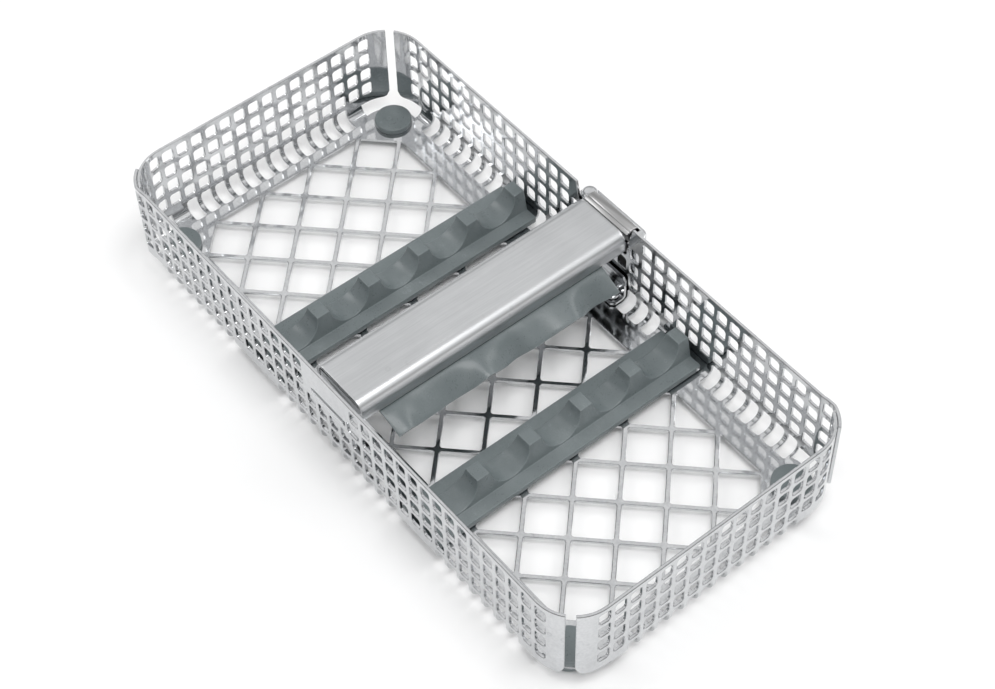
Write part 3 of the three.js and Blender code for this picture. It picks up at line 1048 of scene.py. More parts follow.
    def flat_wall(self, plan: WallPlan) -> bmesh.types.BMesh:
        """Lays one wall out flat: along the wall in X, down from the rim in -Y."""
        tiles = (self.hole_tile.build("hole tile"), self.hole_tile.build_plain("plain tile"))
        sheet = self.layer.lay(self.hole_cells(plan), tiles, (self.pitch_along, self.pitch_up))
        slot_tiles = (self.slot_tile.build("slot tile"), self.slot_tile.build_plain("plain slot tile"))
        first = plan.first_column / self.pitch_along
        band = [
            Cell(first + column, 0.0, not self.has_slot(plan, column))
            for column in range(plan.band[0], plan.band[1] + 1)
        ]
        lower = self.layer.lay(band, slot_tiles, (self.pitch_along, 1.0))
        parts = [self.mesh_of(sheet), self.mesh_of(lower)]
        columns = self.rim_columns(plan)
        rows = self.wing_rows()
        skirt = [y for y in rows if y <= -self.skirt_top + WELD]
        band_low = self.column_place(plan, plan.band[0]) - self.pitch_along / 2
        band_high = self.column_place(plan, plan.band[1]) + self.pitch_along / 2
        parts.append(self.grid_mesh([x for x in columns if x <= band_low + WELD], skirt))
        parts.append(self.grid_mesh([x for x in columns if x >= band_high - WELD], skirt))
        parts.append(self.grid_mesh(columns, [0.0, -self.rim_band]))
        for edge, end in ((columns[0], plan.wing_start), (columns[-1], plan.wing_end)):
            steps = max(4, round(abs(end - edge) / self.wing_step))
            parts.append(self.grid_mesh([edge + (end - edge) * k / steps for k in range(steps + 1)], rows))
        whole = bmesh.new()
        for mesh in parts:
            whole.from_mesh(mesh)
            bpy.data.meshes.remove(mesh)
        bmesh.ops.remove_doubles(whole, verts=whole.verts, dist=WELD)
        for tile in (*tiles, *slot_tiles):
            bpy.data.objects.remove(tile)
        self.shape_wing_ends(whole, plan)
        if plan.side is Side.NEAR:
            self.cut_slit(whole)
        if plan.side is Side.FAR:
            self.cut_notch(whole)
        return whole

    @staticmethod
    def mesh_of(sheet: bmesh.types.BMesh) -> bpy.types.Mesh:
        """Turns a loose sheet into a mesh."""
        mesh = bpy.data.meshes.new("part")
        sheet.to_mesh(mesh)
        sheet.free()
        return mesh

    @staticmethod
    def grid_mesh(columns: Sequence[float], rows: Sequence[float]) -> bpy.types.Mesh:
        """A flat grid as a mesh."""
        mesh = bpy.data.meshes.new("grid")
        points, faces = grid_faces(columns, rows)
        mesh.from_pydata(points, [], faces)
        return mesh

    def shape_wing_ends(self, sheet: bmesh.types.BMesh, plan: WallPlan) -> None:
        """Rounds the bottom corner of each wing."""
        radius = self.drop - self.skirt_top
        for point in sheet.verts:
            below = (-point.co.y - self.skirt_top) / radius
            if not 0 < below <= 1 + WELD:
                continue
            for end, inward in ((plan.wing_start, 1), (plan.wing_end, -1)):
                inside = (point.co.x - end) * inward
                if inside < radius:
                    rise = radius - math.sqrt(max(radius**2 - (radius - inside) ** 2, 0.0))
                    point.co.y += rise * below

    def nearest_edges(self, half: float) -> Plan:
        """The long wall's two cell edges nearest to a distance either side of the middle."""
        start = self.long_first - self.pitch_along / 2
        return tuple(start + self.pitch_along * round((x - start) / self.pitch_along) for x in (-half, half))

    def pull_edges(self, point: bmesh.types.BMVert, edges: Plan, half: float) -> None:
        """Moves a point so that two cell edges come to lie half either side of the middle."""
        outer = (edges[0] - self.pitch_along, edges[1] + self.pitch_along)
        stretches = (
            (outer[0], edges[0], outer[0], -half), (edges[0], edges[1], -half, half),
            (edges[1], outer[1], half, outer[1]),
        )
        for low, high, new_low, new_high in stretches:
            if low - WELD <= point.co.x <= high + WELD:
                point.co.x = new_low + (point.co.x - low) * (new_high - new_low) / (high - low)
                return

    def cut_slit(self, sheet: bmesh.types.BMesh) -> None:
        """Opens the slit that the bar's tongue hooks into."""
        middle = -(self.rim_band + 1.5 * self.pitch_up)
        inner = [middle + y for y in self.hole_tile.rows()[2:4]]
        wanted = [height - self.place.rim_z for height in (self.slit_low, self.slit_high)]
        edges = self.nearest_edges(self.slit_half)
        gone = []
        for face in sheet.faces:
            centre = face.calc_center_median()
            if inner[0] < centre.y < inner[1] and edges[0] < centre.x < edges[1]:
                gone.append(face)
        bmesh.ops.delete(sheet, geom=gone, context="FACES")
        for point in sheet.verts:
            if abs(point.co.y - middle) > self.pitch_up / 2 - WELD:
                continue
            if edges[0] - WELD <= point.co.x <= edges[1] + WELD:
                for old, new in zip(inner, wanted):
                    if abs(point.co.y - old) < WELD:
                        point.co.y = new
            self.pull_edges(point, edges, self.slit_half)

    def cut_notch(self, sheet: bmesh.types.BMesh) -> None:
        """Opens the rim where the bar passes, with sloping ends."""
        edges = self.nearest_edges(self.notch_half + self.notch_flare / 2)
        bottom = -(self.rim_band + self.pitch_up)
        gone = []
        for face in sheet.faces:
            centre = face.calc_center_median()
            if centre.y > bottom and edges[0] < centre.x < edges[1]:
                gone.append(face)
        bmesh.ops.delete(sheet, geom=gone, context="FACES")
        for point in sheet.verts:
            if point.co.y > bottom - WELD:
                up = (point.co.y - bottom) / -bottom
                self.pull_edges(point, edges, self.notch_half + self.notch_flare * up)

    def fold(self, plan: WallPlan, along: float, down: float) -> Solid:
        """Folds a flat point of a wall into its place.

        Args:
            plan: the wall.
            along: place along the wall, seen from outside.
            down: distance down the outside from the rim.

        Returns:
            The point in the basket's own frame.
        """
        bend = self.bend_radius * math.pi / 2
        past = down - self.drop
        if past <= 0:
            out, height = 0.0, self.place.rim_z - down
        elif past <= bend:
            a = past / self.bend_radius
            out = -self.bend_radius * (1 - math.cos(a))
            height = self.place.floor_z + self.bend_radius * (1 - math.sin(a))
        else:
            out, height = -self.bend_radius - (past - bend), self.place.floor_z
        beyond = abs(along) - plan.half_straight
        if beyond <= 0:
            x, y = along, -(plan.half_across + out)
        else:
            if plan.lapped and along < 0:
                t = min(beyond / self.lap_ramp, 1.0)
                out += self.lap * t * t * (3 - 2 * t)
            a, reach = beyond / self.corner_radius, self.corner_radius + out
            x = math.copysign(plan.half_straight + reach * math.sin(a), along)
            y = -(plan.half_across - self.corner_radius + reach * math.cos(a))
        turn = math.radians(plan.side.value)
        return (
            x * math.cos(turn) - y * math.sin(turn),
            x * math.sin(turn) + y * math.cos(turn) + self.place.middle_y,
            height,
        )

    def floor_loop(self, plans: Sequence[WallPlan]) -> list[Solid]:
        """The floor border's outer line: along each wall's band and round a lobe at each corner."""
        floor_level = -self.drop - self.bend_radius * math.pi / 2 + WELD
        sides = [y for y in reversed(self.slot_tile.rows()) if y <= floor_level]
        loop: list[Solid] = []
        ordered = sorted(plans, key=lambda plan: plan.side.value)
        for plan, following in zip(ordered, ordered[1:] + ordered[:1]):
            low = self.column_place(plan, plan.band[0]) - self.pitch_along / 2
            high = self.column_place(plan, plan.band[1]) + self.pitch_along / 2
            loop += [self.fold(plan, low, -y) for y in sides]
            tile = self.slot_tile.columns()
            for column in range(plan.band[0], plan.band[1] + 1):
                middle = self.column_place(plan, column)
                loop += [self.fold(plan, middle + x, self.band_end) for x in tile[1:]]
            loop += [self.fold(plan, high, -y) for y in reversed(sides[:-1])]
            next_low = self.column_place(following, following.band[0]) - self.pitch_along / 2
            start, end = Vector(loop[-1]), Vector(self.fold(following, next_low, -sides[0]))
            turn = math.radians(plan.side.value)
            centre_x, centre_y = plan.half_straight, -(plan.half_across - self.corner_radius)
            centre = Vector(
                (
                    centre_x * math.cos(turn) - centre_y * math.sin(turn),
                    centre_x * math.sin(turn) + centre_y * math.cos(turn) + self.place.middle_y,
                    start.z,
                )
            )
            first, last = start - centre, end - centre
            angle_0, angle_1 = math.atan2(first.y, first.x), math.atan2(last.y, last.x)
            sweep = (angle_1 - angle_0) % math.tau
            for k in range(1, self.lobe_steps):
                t = k / self.lobe_steps
                reach = first.length * (1 - t) + last.length * t
                a = angle_0 + sweep * t
                loop.append((centre.x + reach * math.cos(a), centre.y + reach * math.sin(a), start.z))
        return loop

    def lattice_loop(self) -> list[Solid]:
        """The floor border's inner line, round the lattice, with its four solid corners."""
        cell, reach = self.lattice_cell, self.lattice_tile.reach
        nx, ny = self.lattice_along, self.lattice_across
        quarter: list[Plan] = []
        corner_x, corner_y = (nx - 1) * cell, (ny - 1) * cell
        for j in range(-ny + 1, ny):
            if (nx + j) % 2:
                quarter += [(nx * cell, j * cell + offset) for offset in (-reach, 0.0, reach)]
        # The corner's bar runs from the end side up to the long side; its outer edge bounds the border.
        bar_edge = [(corner_x + cell - x, corner_y + y) for x, y in self.corner_bar()]
        quarter += bar_edge
        for i in range(nx - 1, -nx, -1):
            if (ny + i) % 2:
                quarter += [(i * cell + offset, ny * cell) for offset in (reach, 0.0, -reach)]
        quarter += [(-x, y) for x, y in reversed(bar_edge)]
        loop = quarter + [(-x, -y) for x, y in quarter]
        unique: list[Plan] = []
        for point in loop:
            if not any(math.dist(point, other) < WELD for other in unique):
                unique.append(point)
        return [(x, y + self.place.middle_y, self.place.floor_z) for x, y in unique]

    def corner_bar(self) -> list[Plan]:
        """The outer edge of a corner cell's bar, measured from the cell's lower right crossing."""
        return [(y, x) for x, y in self.lattice_tile.side()]

    def floor_parts(self, plans: Sequence[WallPlan]) -> list[bpy.types.Mesh]:
        """The lattice and the plain border round it, in place."""
        cells = []
        for i in range(-self.lattice_along, self.lattice_along):
            for j in range(-self.lattice_across, self.lattice_across):
                turn = 0.0 if (i + j) % 2 else math.pi / 2
                cells.append(Cell(i + 0.5, j + 0.5, False, turn))
        tile = self.lattice_tile.build("lattice tile")
        lattice = self.layer.lay(cells, (tile, tile), (self.lattice_cell, self.lattice_cell))
        bpy.data.objects.remove(tile)
        for point in lattice.verts:
            point.co.y += self.place.middle_y
            point.co.z = self.place.floor_z
        border = bmesh.new()
        edges = []
        for loop in (self.floor_loop(plans), self.lattice_loop()):
            points = [border.verts.new(p) for p in loop]
            edges += [border.edges.new((a, b)) for a, b in zip(points, points[1:] + points[:1])]
        bmesh.ops.triangle_fill(border, use_beauty=True, use_dissolve=False, edges=edges, normal=(0, 0, -1))
        return [self.mesh_of(lattice), self.mesh_of(border)]

    def build(self) -> Object:
        """Builds the basket as one closed sheet and dresses it."""
        plans = self.wall_plans()
        whole = bmesh.new()
        for plan in plans:
            flat = self.flat_wall(plan)
            for point in flat.verts:
                point.co = self.fold(plan, point.co.x, -point.co.y)
            mesh = self.mesh_of(flat)
            whole.from_mesh(mesh)
            bpy.data.meshes.remove(mesh)
        for mesh in self.floor_parts(plans):
            whole.from_mesh(mesh)
            bpy.data.meshes.remove(mesh)
        bmesh.ops.remove_doubles(whole, verts=whole.verts, dist=2 * WELD)
        bmesh.ops.recalc_face_normals(whole, faces=whole.faces)
        floor = [f for f in whole.faces if abs(f.calc_center_median().z - self.place.floor_z) < WELD]
        if sum(f.normal.z * f.calc_area() for f in floor) > 0:
            bmesh.ops.reverse_faces(whole, faces=whole.faces)
        mesh = bpy.data.meshes.new("wash_basket")
        whole.to_mesh(mesh)
        whole.free()
        basket = bpy.data.objects.new("wash_basket", mesh)
        bpy.context.scene.collection.objects.link(basket)
        thickness = basket.modifiers.new("Sheet", "SOLIDIFY")
        thickness.thickness, thickness.offset = self.sheet, -1.0
        thickness.use_even_offset = True
        bevelled(basket, self.edge, segments=1, angle=50.0)
        settled(basket)
        return self.wardrobe.dress(
            basket, Slot.POLISHED, "basket",
            "floor_panel", "near_wall", "far_wall", "left_end_wall", "right_end_wall",
            "left_corner_wrap", "right_corner_wrap",
            "rear_wing_far", "rear_wing_left", "front_wing_near", "front_wing_right",
        )


# ---- silicone pieces --------------------------------------------------------------------------------


@dataclass
class Feet:
    """Four moulded grommet feet: a flange under the floor and a low domed cap above it."""

    wardrobe: Wardrobe
    corner: float = 0.5 * MM
    dome: float = 0.35 * MM
    neck: float = 3 * MM
    floor_top: float = 3 * MM

    def profile(self, low: Vector, high: Vector) -> list[Plan]:
        """The foot's outline in radius and height."""
        radius = (high.x - low.x) / 2
        underside = self.floor_top - 1 * MM
        line = [
            (0.0, low.z), (radius - 0.3 * MM, low.z), (radius, low.z + 0.9 * MM), (radius, underside),
            (self.neck, underside), (self.neck, self.floor_top),
            (radius, self.floor_top), (radius, high.z - self.dome), (0.0, high.z),
        ]
        flange, cap = rounded_line(line[:4], self.corner, 3), rounded_line(line[6:], self.corner, 5)
        return flange + line[4:6] + cap

    def build(self) -> None:
        """Builds and dresses the four feet."""
        for node in ("foot_rear_left", "foot_rear_right", "foot_front_left", "foot_front_right"):
            low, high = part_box(node)
            centre = ((low.x + high.x) / 2, (low.y + high.y) / 2)
            foot = settled(lathe(node.replace("foot", "grommet_foot"), self.profile(low, high), centre, 56))
            self.wardrobe.dress(foot, Slot.SILICONE, "basket", node)


@dataclass
class Racks:
    """Two moulded racks, each a base with a tapered rib scooped into saddles."""

    wardrobe: Wardrobe
    base_height: float = 2 * MM
    floor_gap: float = 0.3 * MM
    floor_top: float = 3 * MM
    rib_foot: float = 7.6 * MM
    rib_top: float = 4.7 * MM
    saddle_radius: float = 6.4 * MM
    saddle_pitch: float = 16.7 * MM
    saddles: int = 5
    rise: float = 0.3 * MM  # of the saddles' centres over the rib's top
    stations_per_saddle: int = 18
    stud_radius: float = 2.8 * MM
    stud_neck: float = 0.5 * MM  # how much slimmer the stud is above its head
    edge: float = 0.35 * MM
    smooth_angle: float = math.radians(40)

    def rib_height(self, y: float, top: float) -> float:
        """The rib's top at a distance from the rack's middle."""
        span = (self.saddles - 1) / 2
        index = max(-span, min(span, round(y / self.saddle_pitch)))
        away = abs(y - index * self.saddle_pitch)
        if away >= self.saddle_radius:
            return top
        return min(top, top + self.rise - math.sqrt(self.saddle_radius**2 - away**2))

    def stations(self, half: float, top: float) -> list[float]:
        """Places along the rack: close together in the saddles, none lost at the posts' edges."""
        lip = math.sqrt(self.saddle_radius**2 - self.rise**2)
        out = {-half, half}
        span = (self.saddles - 1) / 2
        for k in range(self.saddles):
            middle = (k - span) * self.saddle_pitch
            for step in range(self.stations_per_saddle + 1):
                out.add(middle - lip * math.cos(math.pi * step / self.stations_per_saddle))
        return sorted(out)

    def section(self, x: float, y: float, z: Sequence[float], half_base: float, top: float) -> list[Solid]:
        """One section across the rack, anticlockwise from the bottom left.

        Args:
            x: the rack's middle.
            y: the section's place.
            z: the base's bottom and top.
            half_base: half the base's width.
            top: the rib's full height.

        Returns:
            Eight points.
        """
        low, high = z
        reach = self.rib_height(y - self.middle_y, top)
        share = (reach - high) / (top - high)
        half_top = (self.rib_foot * (1 - share) + self.rib_top * share) / 2
        outline = [
            (-half_base, low), (half_base, low), (half_base, high), (self.rib_foot / 2, high),
            (half_top, reach), (-half_top, reach), (-self.rib_foot / 2, high), (-half_base, high),
        ]
        return [(x + dx, y, height) for dx, height in outline]

    def build(self) -> None:
        """Builds and dresses both racks."""
        for body in ("left_rack", "right_rack"):
            node = "rack_left" if body == "left_rack" else "rack_right"
            low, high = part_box(node)
            x, self.middle_y = (low.x + high.x) / 2, (low.y + high.y) / 2
            half = (high.y - low.y) / 2
            base = (self.floor_top + self.floor_gap, self.floor_top + self.floor_gap + self.base_height)
            places = self.stations(half, high.z)
            sections = [
                self.section(x, self.middle_y + y, base, (high.x - low.x) / 2, high.z) for y in places
            ]
            rack = loft("saddle_" + node, sections)
            bevelled(rack, self.edge, segments=3, angle=28.0)
            settled(rack, self.smooth_angle)
            offsets = (-self.saddle_pitch, self.saddle_pitch)
            studs = [self.stud(x, self.middle_y + offset, low.z, base[0]) for offset in offsets]
            whole = joined("saddle_" + node, [rack, *studs])
            self.wardrobe.dress(shaded(whole, self.smooth_angle), Slot.SILICONE, body, node)

    def stud(self, x: float, y: float, bottom: float, top: float) -> Object:
        """A stud that holds the rack in the floor lattice."""
        neck, root = self.stud_radius - self.stud_neck, top + self.floor_gap
        line = [
            (0.0, bottom), (self.stud_radius, bottom), (self.stud_radius, bottom + 0.8 * MM),
            (neck, bottom + 1.1 * MM), (neck, root), (0.0, root),
        ]
        return lathe("stud", rounded_line(line, 0.35 * MM, 3), (x, y), 28)


# ---- hold-down bar ----------------------------------------------------------------------------------


@dataclass
class HoldDownBar:
    """The brushed channel with its end plates, the silicone flap and the strip and studs that hold it."""

    wardrobe: Wardrobe
    sheet: float = 1 * MM
    shoulder: float = 3.2 * MM
    plate: float = 0.8 * MM
    bend: float = 1.2 * MM
    tongue_half: float = 6.6 * MM
    latch_tongue_z: float = 24.9 * MM  # underside, over the surface that the tray stands on
    plate_inset: float = 0.2 * MM
    shoulder_steps: int = 12
    tongue_shoulder: float = 1.5 * MM  # from the tongue to the plate's full width
    shoulder_step: float = 0.1 * MM
    channel_edge: float = 0.22 * MM
    plate_edge: float = 0.15 * MM
    strip_edge: float = 0.25 * MM
    stud_shank: float = 1.5 * MM
    stud_head: float = 1.1 * MM
    flap_hinge: float = 1.4 * MM  # inside the channel's edge, where the flap starts to lean
    flap_bend: float = 3.5 * MM
    flap_thickness: float = 0.9 * MM
    flap_rows: int = 120
    flap_columns: int = 20
    lean: float = math.radians(13)
    waves: tuple[Solid, ...] = ((0.5, 25.0, 0.9), (0.2, 14.5, 2.3), (0.06, 7.9, 0.4))

    def channel(self) -> None:
        """The channel: one sheet with rounded shoulders, open below."""
        low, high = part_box("clamp_bar")
        half, radius = (high.x - low.x) / 2, self.shoulder
        corner_x, corner_z = half - radius, high.z - radius
        outline: list[Plan] = [(half, low.z), (half, (low.z + corner_z) / 2)]
        for centre, start in ((corner_x, 0.0), (-corner_x, 90.0)):
            for k in range(self.shoulder_steps + 1):
                a = math.radians(start + 90.0 * k / self.shoulder_steps)
                outline.append((centre + radius * math.cos(a), corner_z + radius * math.sin(a)))
        outline += [(-half, (low.z + corner_z) / 2), (-half, low.z)]
        points, faces = [], []
        rows = [low.y, low.y * 0.98, (low.y + high.y) / 2, high.y * 0.98, high.y]
        for y in rows:
            points += [(x, y, z) for x, z in outline]
        count = len(outline)
        for row in range(len(rows) - 1):
            for k in range(count - 1):
                a = row * count + k
                faces.append((a, a + count, a + count + 1, a + 1))
        bar = mesh_object("clamp_channel", points, faces)
        bm = bmesh.new()
        bm.from_mesh(bar.data)
        top = max(bm.faces, key=lambda face: face.calc_center_median().z)
        if top.normal.z < 0:
            bmesh.ops.reverse_faces(bm, faces=bm.faces)
        bm.to_mesh(bar.data)
        bm.free()
        wall = bar.modifiers.new("Sheet", "SOLIDIFY")
        wall.thickness, wall.offset = self.sheet, -1.0
        bevelled(bar, self.channel_edge, segments=2, angle=50.0)
        self.wardrobe.dress(settled(bar), Slot.BRUSHED, "bar", "clamp_bar")

    def end_plates(self) -> None:
        """The plates that close the channel and end in the hinge tongue and the latch tongue."""
        low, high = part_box("bar_hinge_plate")
        tongue_half, plate_half = self.tongue_half, (high.x - low.x) / 2
        t = self.plate
        narrow, wide = self.tongue_shoulder, self.tongue_shoulder + self.shoulder_step
        upright = high.y - t / 2
        line = [
            (upright, high.z, plate_half), (upright, low.z + wide, plate_half),
            (upright, low.z + narrow, tongue_half), (upright, low.z + t / 2, tongue_half),
            (low.y, low.z + t / 2, tongue_half),
        ]
        hinge = bevelled(bent_strip("hinge_end_plate", line, t, self.bend), self.plate_edge)
        self.wardrobe.dress(settled(hinge), Slot.BRUSHED, "bar", "bar_hinge_plate")
        low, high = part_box("bar_latch_plate")
        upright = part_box("clamp_bar")[1].y - self.plate_inset - t / 2
        tongue_z = self.latch_tongue_z + t / 2
        line = [
            (upright, low.z, plate_half), (upright, tongue_z - narrow, plate_half),
            (upright, tongue_z - narrow + self.shoulder_step, tongue_half), (upright, tongue_z, tongue_half),
            (high.y, tongue_z, tongue_half),
        ]
        latch = bevelled(bent_strip("latch_end_plate", line, t, self.bend), self.plate_edge)
        self.wardrobe.dress(settled(latch), Slot.BRUSHED, "bar", "bar_latch_plate")

    def droop(self, y: float) -> float:
        """How far the flap leans down beyond the bar, in radians, at a place along it."""
        lean = self.lean
        for size, length, phase in self.waves:
            lean += size * (1 + math.sin(math.tau * y / (length * MM) + phase)) / 2
        return lean

    def flap(self) -> None:
        """The silicone flap: held flat under the bar, leaning down in soft waves beyond it."""
        low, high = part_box("hold_flap")
        hinge_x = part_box("clamp_bar")[1].x - self.flap_hinge
        top, bend = high.z, self.flap_bend
        length = high.x - low.x
        points, faces = [], []
        for row in range(self.flap_rows + 1):
            y = low.y + (high.y - low.y) * row / self.flap_rows
            lean = self.droop(y)
            x, z, along = low.x, top, 0.0
            step = length / self.flap_columns
            for column in range(self.flap_columns + 1):
                points.append((x, y, z))
                past = max(0.0, min((low.x + along + step / 2 - hinge_x) / bend, 1.0))
                angle = lean * past
                x += step * math.cos(angle)
                z -= step * math.sin(angle)
                along += step
        count = self.flap_columns + 1
        for row in range(self.flap_rows):
            for column in range(self.flap_columns):
                a = row * count + column
                faces.append((a, a + 1, a + count + 1, a + count))
        flap = mesh_object("silicone_flap", points, faces)
        wall = flap.modifiers.new("Sheet", "SOLIDIFY")
        wall.thickness, wall.offset = self.flap_thickness, -1.0
        bevelled(flap, self.plate_edge, segments=2, angle=60.0)
        self.wardrobe.dress(settled(flap), Slot.SILICONE, "bar", "hold_flap")

    def strip_and_studs(self) -> None:
        """The strip that clamps the flap, and its three studs."""
        low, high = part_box("flap_strip")
        strip = bevelled(block("flap_holding_strip", low, high), self.strip_edge, 3)
        self.wardrobe.dress(settled(strip), Slot.BRUSHED, "bar", "flap_strip")
        for node in ("flap_stud_near", "flap_stud_middle", "flap_stud_far"):
            low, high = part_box(node)
            head, shank, neck_z = (high.x - low.x) / 2, self.stud_shank, low.z + self.stud_head
            line = [
                (0.0, low.z), (head - 0.2 * MM, low.z), (head, low.z + 0.5 * MM), (head, neck_z),
                (shank, neck_z), (shank, high.z), (0.0, high.z),
            ]
            centre = ((low.x + high.x) / 2, (low.y + high.y) / 2)
            outline = rounded_line(line, self.strip_edge, 3)
            stud = lathe(node.replace("flap_stud", "clamp_stud"), outline, centre, 32)
            self.wardrobe.dress(settled(stud), Slot.BRUSHED, "bar", node)

    def build(self) -> None:
        """Builds the whole bar."""
        self.channel()
        self.end_plates()
        self.strip_and_studs()
        self.flap()


# ---- latch ------------------------------------------------------------------------------------------


@dataclass
class Latch:
    """The guard outside the far wall, the spring leaf in it, and the riveted bracket inside."""

    wardrobe: Wardrobe
    wall: float = 1 * MM
    pocket_half: float = 8.8 * MM
    pocket_floor: float = 1.6 * MM
    leaf: float = 0.7 * MM
    lip: float = 2.5 * MM
    lip_fall: float = 0.75 * MM
    hook_reach: float = 0.9 * MM
    hook_drop: float = 1.3 * MM  # underside, below the leaf's top
    hook_root: float = 0.3 * MM  # where its slope starts, below the leaf's top
    hook_slope: float = 0.5 * MM
    bracket_sheet: float = 0.8 * MM
    hook_edge: float = 0.1 * MM
    hook_sunk: float = 0.1 * MM  # into the leaf
    sheet_edge: float = 0.12 * MM
    leaf_bend: float = 0.9 * MM
    bracket_bend: float = 1.3 * MM
    bracket_corner: float = 1 * MM
    guard_edge: float = 0.42 * MM
    knob_rise: float = 0.9 * MM
    knob_dome: float = 0.15 * MM
    knob_draft: float = 0.7 * MM
    knob_round: float = 1.1 * MM
    rivet_shank: float = 0.9 * MM
    rivet_dome: float = 0.8 * MM

    def guard(self) -> None:
        """The guard: a block with round ends, open above, with a knob at its left end."""
        low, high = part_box("latch_housing")
        radius = (high.y - low.y) / 2
        half, middle = (high.x - low.x) / 2, (low.y + high.y) / 2
        straight = half - radius
        outline: list[Plan] = [(-half, low.y), (half, low.y)]
        for centre, start in ((straight, 0.0), (-straight, 90.0)):
            for k in range(9):
                a = math.radians(start + 90.0 * k / 8)
                outline.append((centre + radius * math.cos(a), middle + radius * math.sin(a)))
        guard = loft("latch_guard", [[(x, y, z) for x, y in outline] for z in (low.z, high.z)])
        pocket = block(
            "pocket", (-self.pocket_half, low.y - self.wall, low.z + self.pocket_floor),
            (self.pocket_half, high.y - self.wall, high.z + self.wall),
        )
        cut = guard.modifiers.new("Pocket", "BOOLEAN")
        cut.operation, cut.object, cut.solver = "DIFFERENCE", pocket, "EXACT"
        bevelled(guard, self.guard_edge, segments=3, angle=35.0)
        settled(guard)
        bpy.data.objects.remove(pocket)
        foot, side, top = low.z + 0.3 * MM, radius - self.knob_dome, high.z + self.knob_rise
        line = [
            (0.0, foot), (side, foot), (side, high.z),
            (radius - self.knob_draft, top), (0.0, top + self.knob_dome),
        ]
        knob = lathe("knob", rounded_line(line, self.knob_round, 5), (-straight - 0.1 * MM, middle), 40)
        whole = joined("latch_guard", [guard, settled(knob)])
        self.wardrobe.dress(shaded(whole, SMOOTH_ANGLE), Slot.POLISHED, "basket", "latch_housing")

    def hook(self, tip: float, root: float, top: float, half: float) -> Object:
        """The hook on the leaf's inner face: flat below, over the bar's tongue, and sloped above."""
        outline = [
            (root, top - self.hook_drop), (tip, top - self.hook_drop),
            (tip, top - self.hook_root - self.hook_slope), (root, top - self.hook_root),
        ]
        made = loft("leaf_hook", [[(x, y, z) for y, z in outline] for x in (-half, half)])
        return settled(bevelled(made, self.hook_edge))

    def spring_leaf(self) -> None:
        """The leaf: upright in the guard, hooked over the bar's tongue, bent outwards into a thumb lip."""
        low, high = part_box("latch_leaf")
        half, t = (high.x - low.x) / 2, self.leaf
        inner = low.y + self.hook_reach
        y = inner + t / 2
        line = [(y, low.z, half), (y, high.z - t / 2, half), (y + self.lip, high.z - self.lip_fall, half)]
        leaf = settled(bevelled(bent_strip("spring_leaf", line, t, self.leaf_bend), self.sheet_edge))
        hook = self.hook(low.y, inner + self.hook_sunk, high.z, half)
        self.wardrobe.dress(joined("spring_leaf", [leaf, hook]), Slot.SPRING, "latch", "latch_leaf")

    def bracket(self) -> None:
        """The bracket inside the far wall, with its two rivets."""
        low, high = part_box("latch_bracket")
        half, t, cut = (high.x - low.x) / 2, self.bracket_sheet, self.bracket_corner
        line = [
            (low.y, low.z + t / 2, half - cut), (low.y + cut, low.z + t / 2, half),
            (high.y - t / 2, low.z + t / 2, half), (high.y - t / 2, high.z - cut, half),
            (high.y - t / 2, high.z, half - cut),
        ]
        bracket = bevelled(bent_strip("wall_bracket", line, t, self.bracket_bend), self.sheet_edge)
        self.wardrobe.dress(settled(bracket), Slot.POLISHED, "basket", "latch_bracket")
        for node in ("latch_rivet_left", "latch_rivet_right"):
            low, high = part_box(node)
            head, shank = (high.x - low.x) / 2, self.rivet_shank
            base = high.z - self.rivet_dome
            dome = [
                (head * math.cos(a), base + self.rivet_dome * math.sin(a))
                for a in (math.radians(15 * k) for k in range(7))
            ]
            line = [(0.0, low.z), (shank, low.z), (shank, base), *dome[:-1], (0.0, high.z)]
            centre = ((low.x + high.x) / 2, (low.y + high.y) / 2)
            rivet = lathe(node.replace("latch_rivet", "bracket_rivet"), line, centre, 28)
            self.wardrobe.dress(settled(rivet), Slot.POLISHED, "basket", node)

    def build(self) -> None:
        """Builds the whole latch."""
        self.guard()
        self.spring_leaf()
        self.bracket()


# ---- studio -----------------------------------------------------------------------------------------


@dataclass(frozen=True)
class Softbox:
    """One soft light: where it hangs, what it points at, how big and how strong it is."""

    name: str
    place: Solid
    size: Plan
    power: float


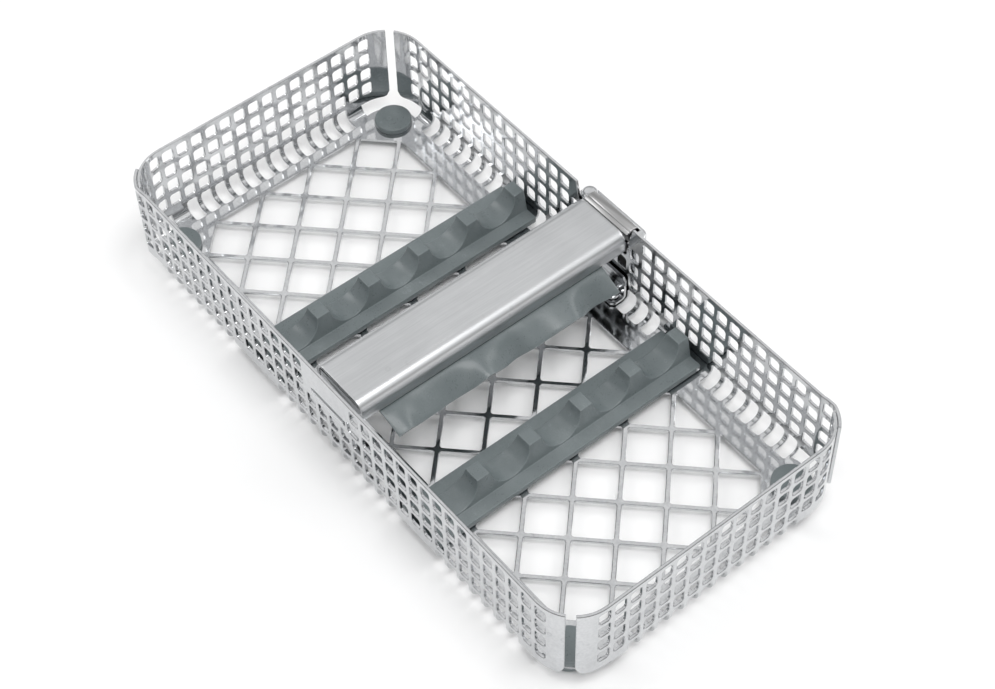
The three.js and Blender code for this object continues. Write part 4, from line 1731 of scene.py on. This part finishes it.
@dataclass
class Studio:
    """A pale floor, soft lights and the camera."""

    eye: Solid = (0.26967, -0.20515, 0.44171)
    aim: Solid = (0.00783, -0.00013, 0.015)
    roll: float = math.radians(-1.42)
    lens: float = 76.19
    floor_size: float = 6.0
    floor_tone: float = 0.93
    surround_strength: float = 1.12
    surround: tuple[Plan, ...] = ((0.2, 0.95), (0.36, 0.3), (0.5, 0.3), (0.66, 0.85), (0.86, 0.8))
    softboxes: tuple[Softbox, ...] = (
        Softbox("key", (0.3, 0.0, 1.3), (0.7, 0.6), 6.5),
        Softbox("side", (-0.9, -0.45, 0.75), (0.5, 0.4), 1.9),
        Softbox("back", (0.25, 1.0, 0.8), (0.8, 0.35), 2.1),
    )

    def floor(self) -> None:
        """The plain pale floor."""
        half = self.floor_size / 2
        corners = [(-half, -half, 0), (half, -half, 0), (half, half, 0), (-half, half, 0)]
        floor = mesh_object("studio_floor", corners, [(0, 1, 2, 3)])
        material = bpy.data.materials.new("pale floor")
        material.use_nodes = True
        shader = material.node_tree.nodes["Principled BSDF"]
        shader.inputs["Base Color"].default_value = (self.floor_tone, self.floor_tone, self.floor_tone, 1.0)
        shader.inputs["Roughness"].default_value = 0.85
        shader.inputs["Specular IOR Level"].default_value = 0.1
        floor.data.materials.append(material)

    def world(self) -> None:
        """A soft surround: pale near the horizon and darker overhead, so that steel shows contrast."""
        world = bpy.data.worlds.new("surround")
        bpy.context.scene.world = world
        world.use_nodes = True
        hand = Nodes(world.node_tree)
        back = world.node_tree.nodes["Background"]
        place = hand.add("ShaderNodeTexCoord").outputs["Generated"]
        parts = hand.add("ShaderNodeSeparateXYZ")
        hand.link(place, parts.inputs[0])
        ramp = hand.add("ShaderNodeValToRGB")
        hand.link(parts.outputs["Z"], ramp.inputs[0])
        stops = ramp.color_ramp.elements
        stops[0].position, stops[0].color = 0.0, (1.0, 1.0, 1.0, 1.0)
        stops[1].position, stops[1].color = 1.0, (0.4, 0.4, 0.405, 1.0)
        for where, tone in self.surround:
            stop = stops.new(where)
            stop.color = (tone, tone, tone, 1.0)
        hand.link(ramp.outputs[0], back.inputs["Color"])
        back.inputs["Strength"].default_value = self.surround_strength

    def lights(self) -> None:
        """Hangs the softboxes, each pointed at the tray."""
        for box in self.softboxes:
            data = bpy.data.lights.new(box.name, "AREA")
            data.shape, data.size, data.size_y, data.energy = "RECTANGLE", box.size[0], box.size[1], box.power
            lamp = bpy.data.objects.new(box.name, data)
            lamp.location = box.place
            lamp.rotation_euler = (-Vector(box.place)).to_track_quat("-Z", "Y").to_euler()
            bpy.context.scene.collection.objects.link(lamp)

    def camera(self) -> None:
        """Sets the camera."""
        data = bpy.data.cameras.new("camera")
        data.lens, data.sensor_width = self.lens, 36.0
        data.clip_start, data.clip_end = 0.01, 20.0
        camera = bpy.data.objects.new("camera", data)
        camera.location = self.eye
        look = (Vector(self.aim) - Vector(self.eye)).to_track_quat("-Z", "Y")
        camera.rotation_euler = (look @ Euler((0.0, 0.0, self.roll)).to_quaternion()).to_euler()
        bpy.context.scene.collection.objects.link(camera)
        bpy.context.scene.camera = camera

    def build(self) -> None:
        """Sets up the whole studio."""
        bpy.context.scene.view_settings.view_transform = "Standard"
        self.floor()
        self.world()
        self.lights()
        self.camera()


def main() -> None:
    """Builds the studio and every sub-assembly in order."""
    logging.basicConfig(level=logging.INFO, format="%(message)s")
    Studio().build()
    wardrobe = Wardrobe()
    layer = CellLayer(wardrobe.finishes[Slot.POLISHED])
    Basket(TrayPlace.read(), layer, wardrobe).build()
    Feet(wardrobe).build()
    Racks(wardrobe).build()
    HoldDownBar(wardrobe).build()
    Latch(wardrobe).build()


if __name__ == "__main__":
    main()
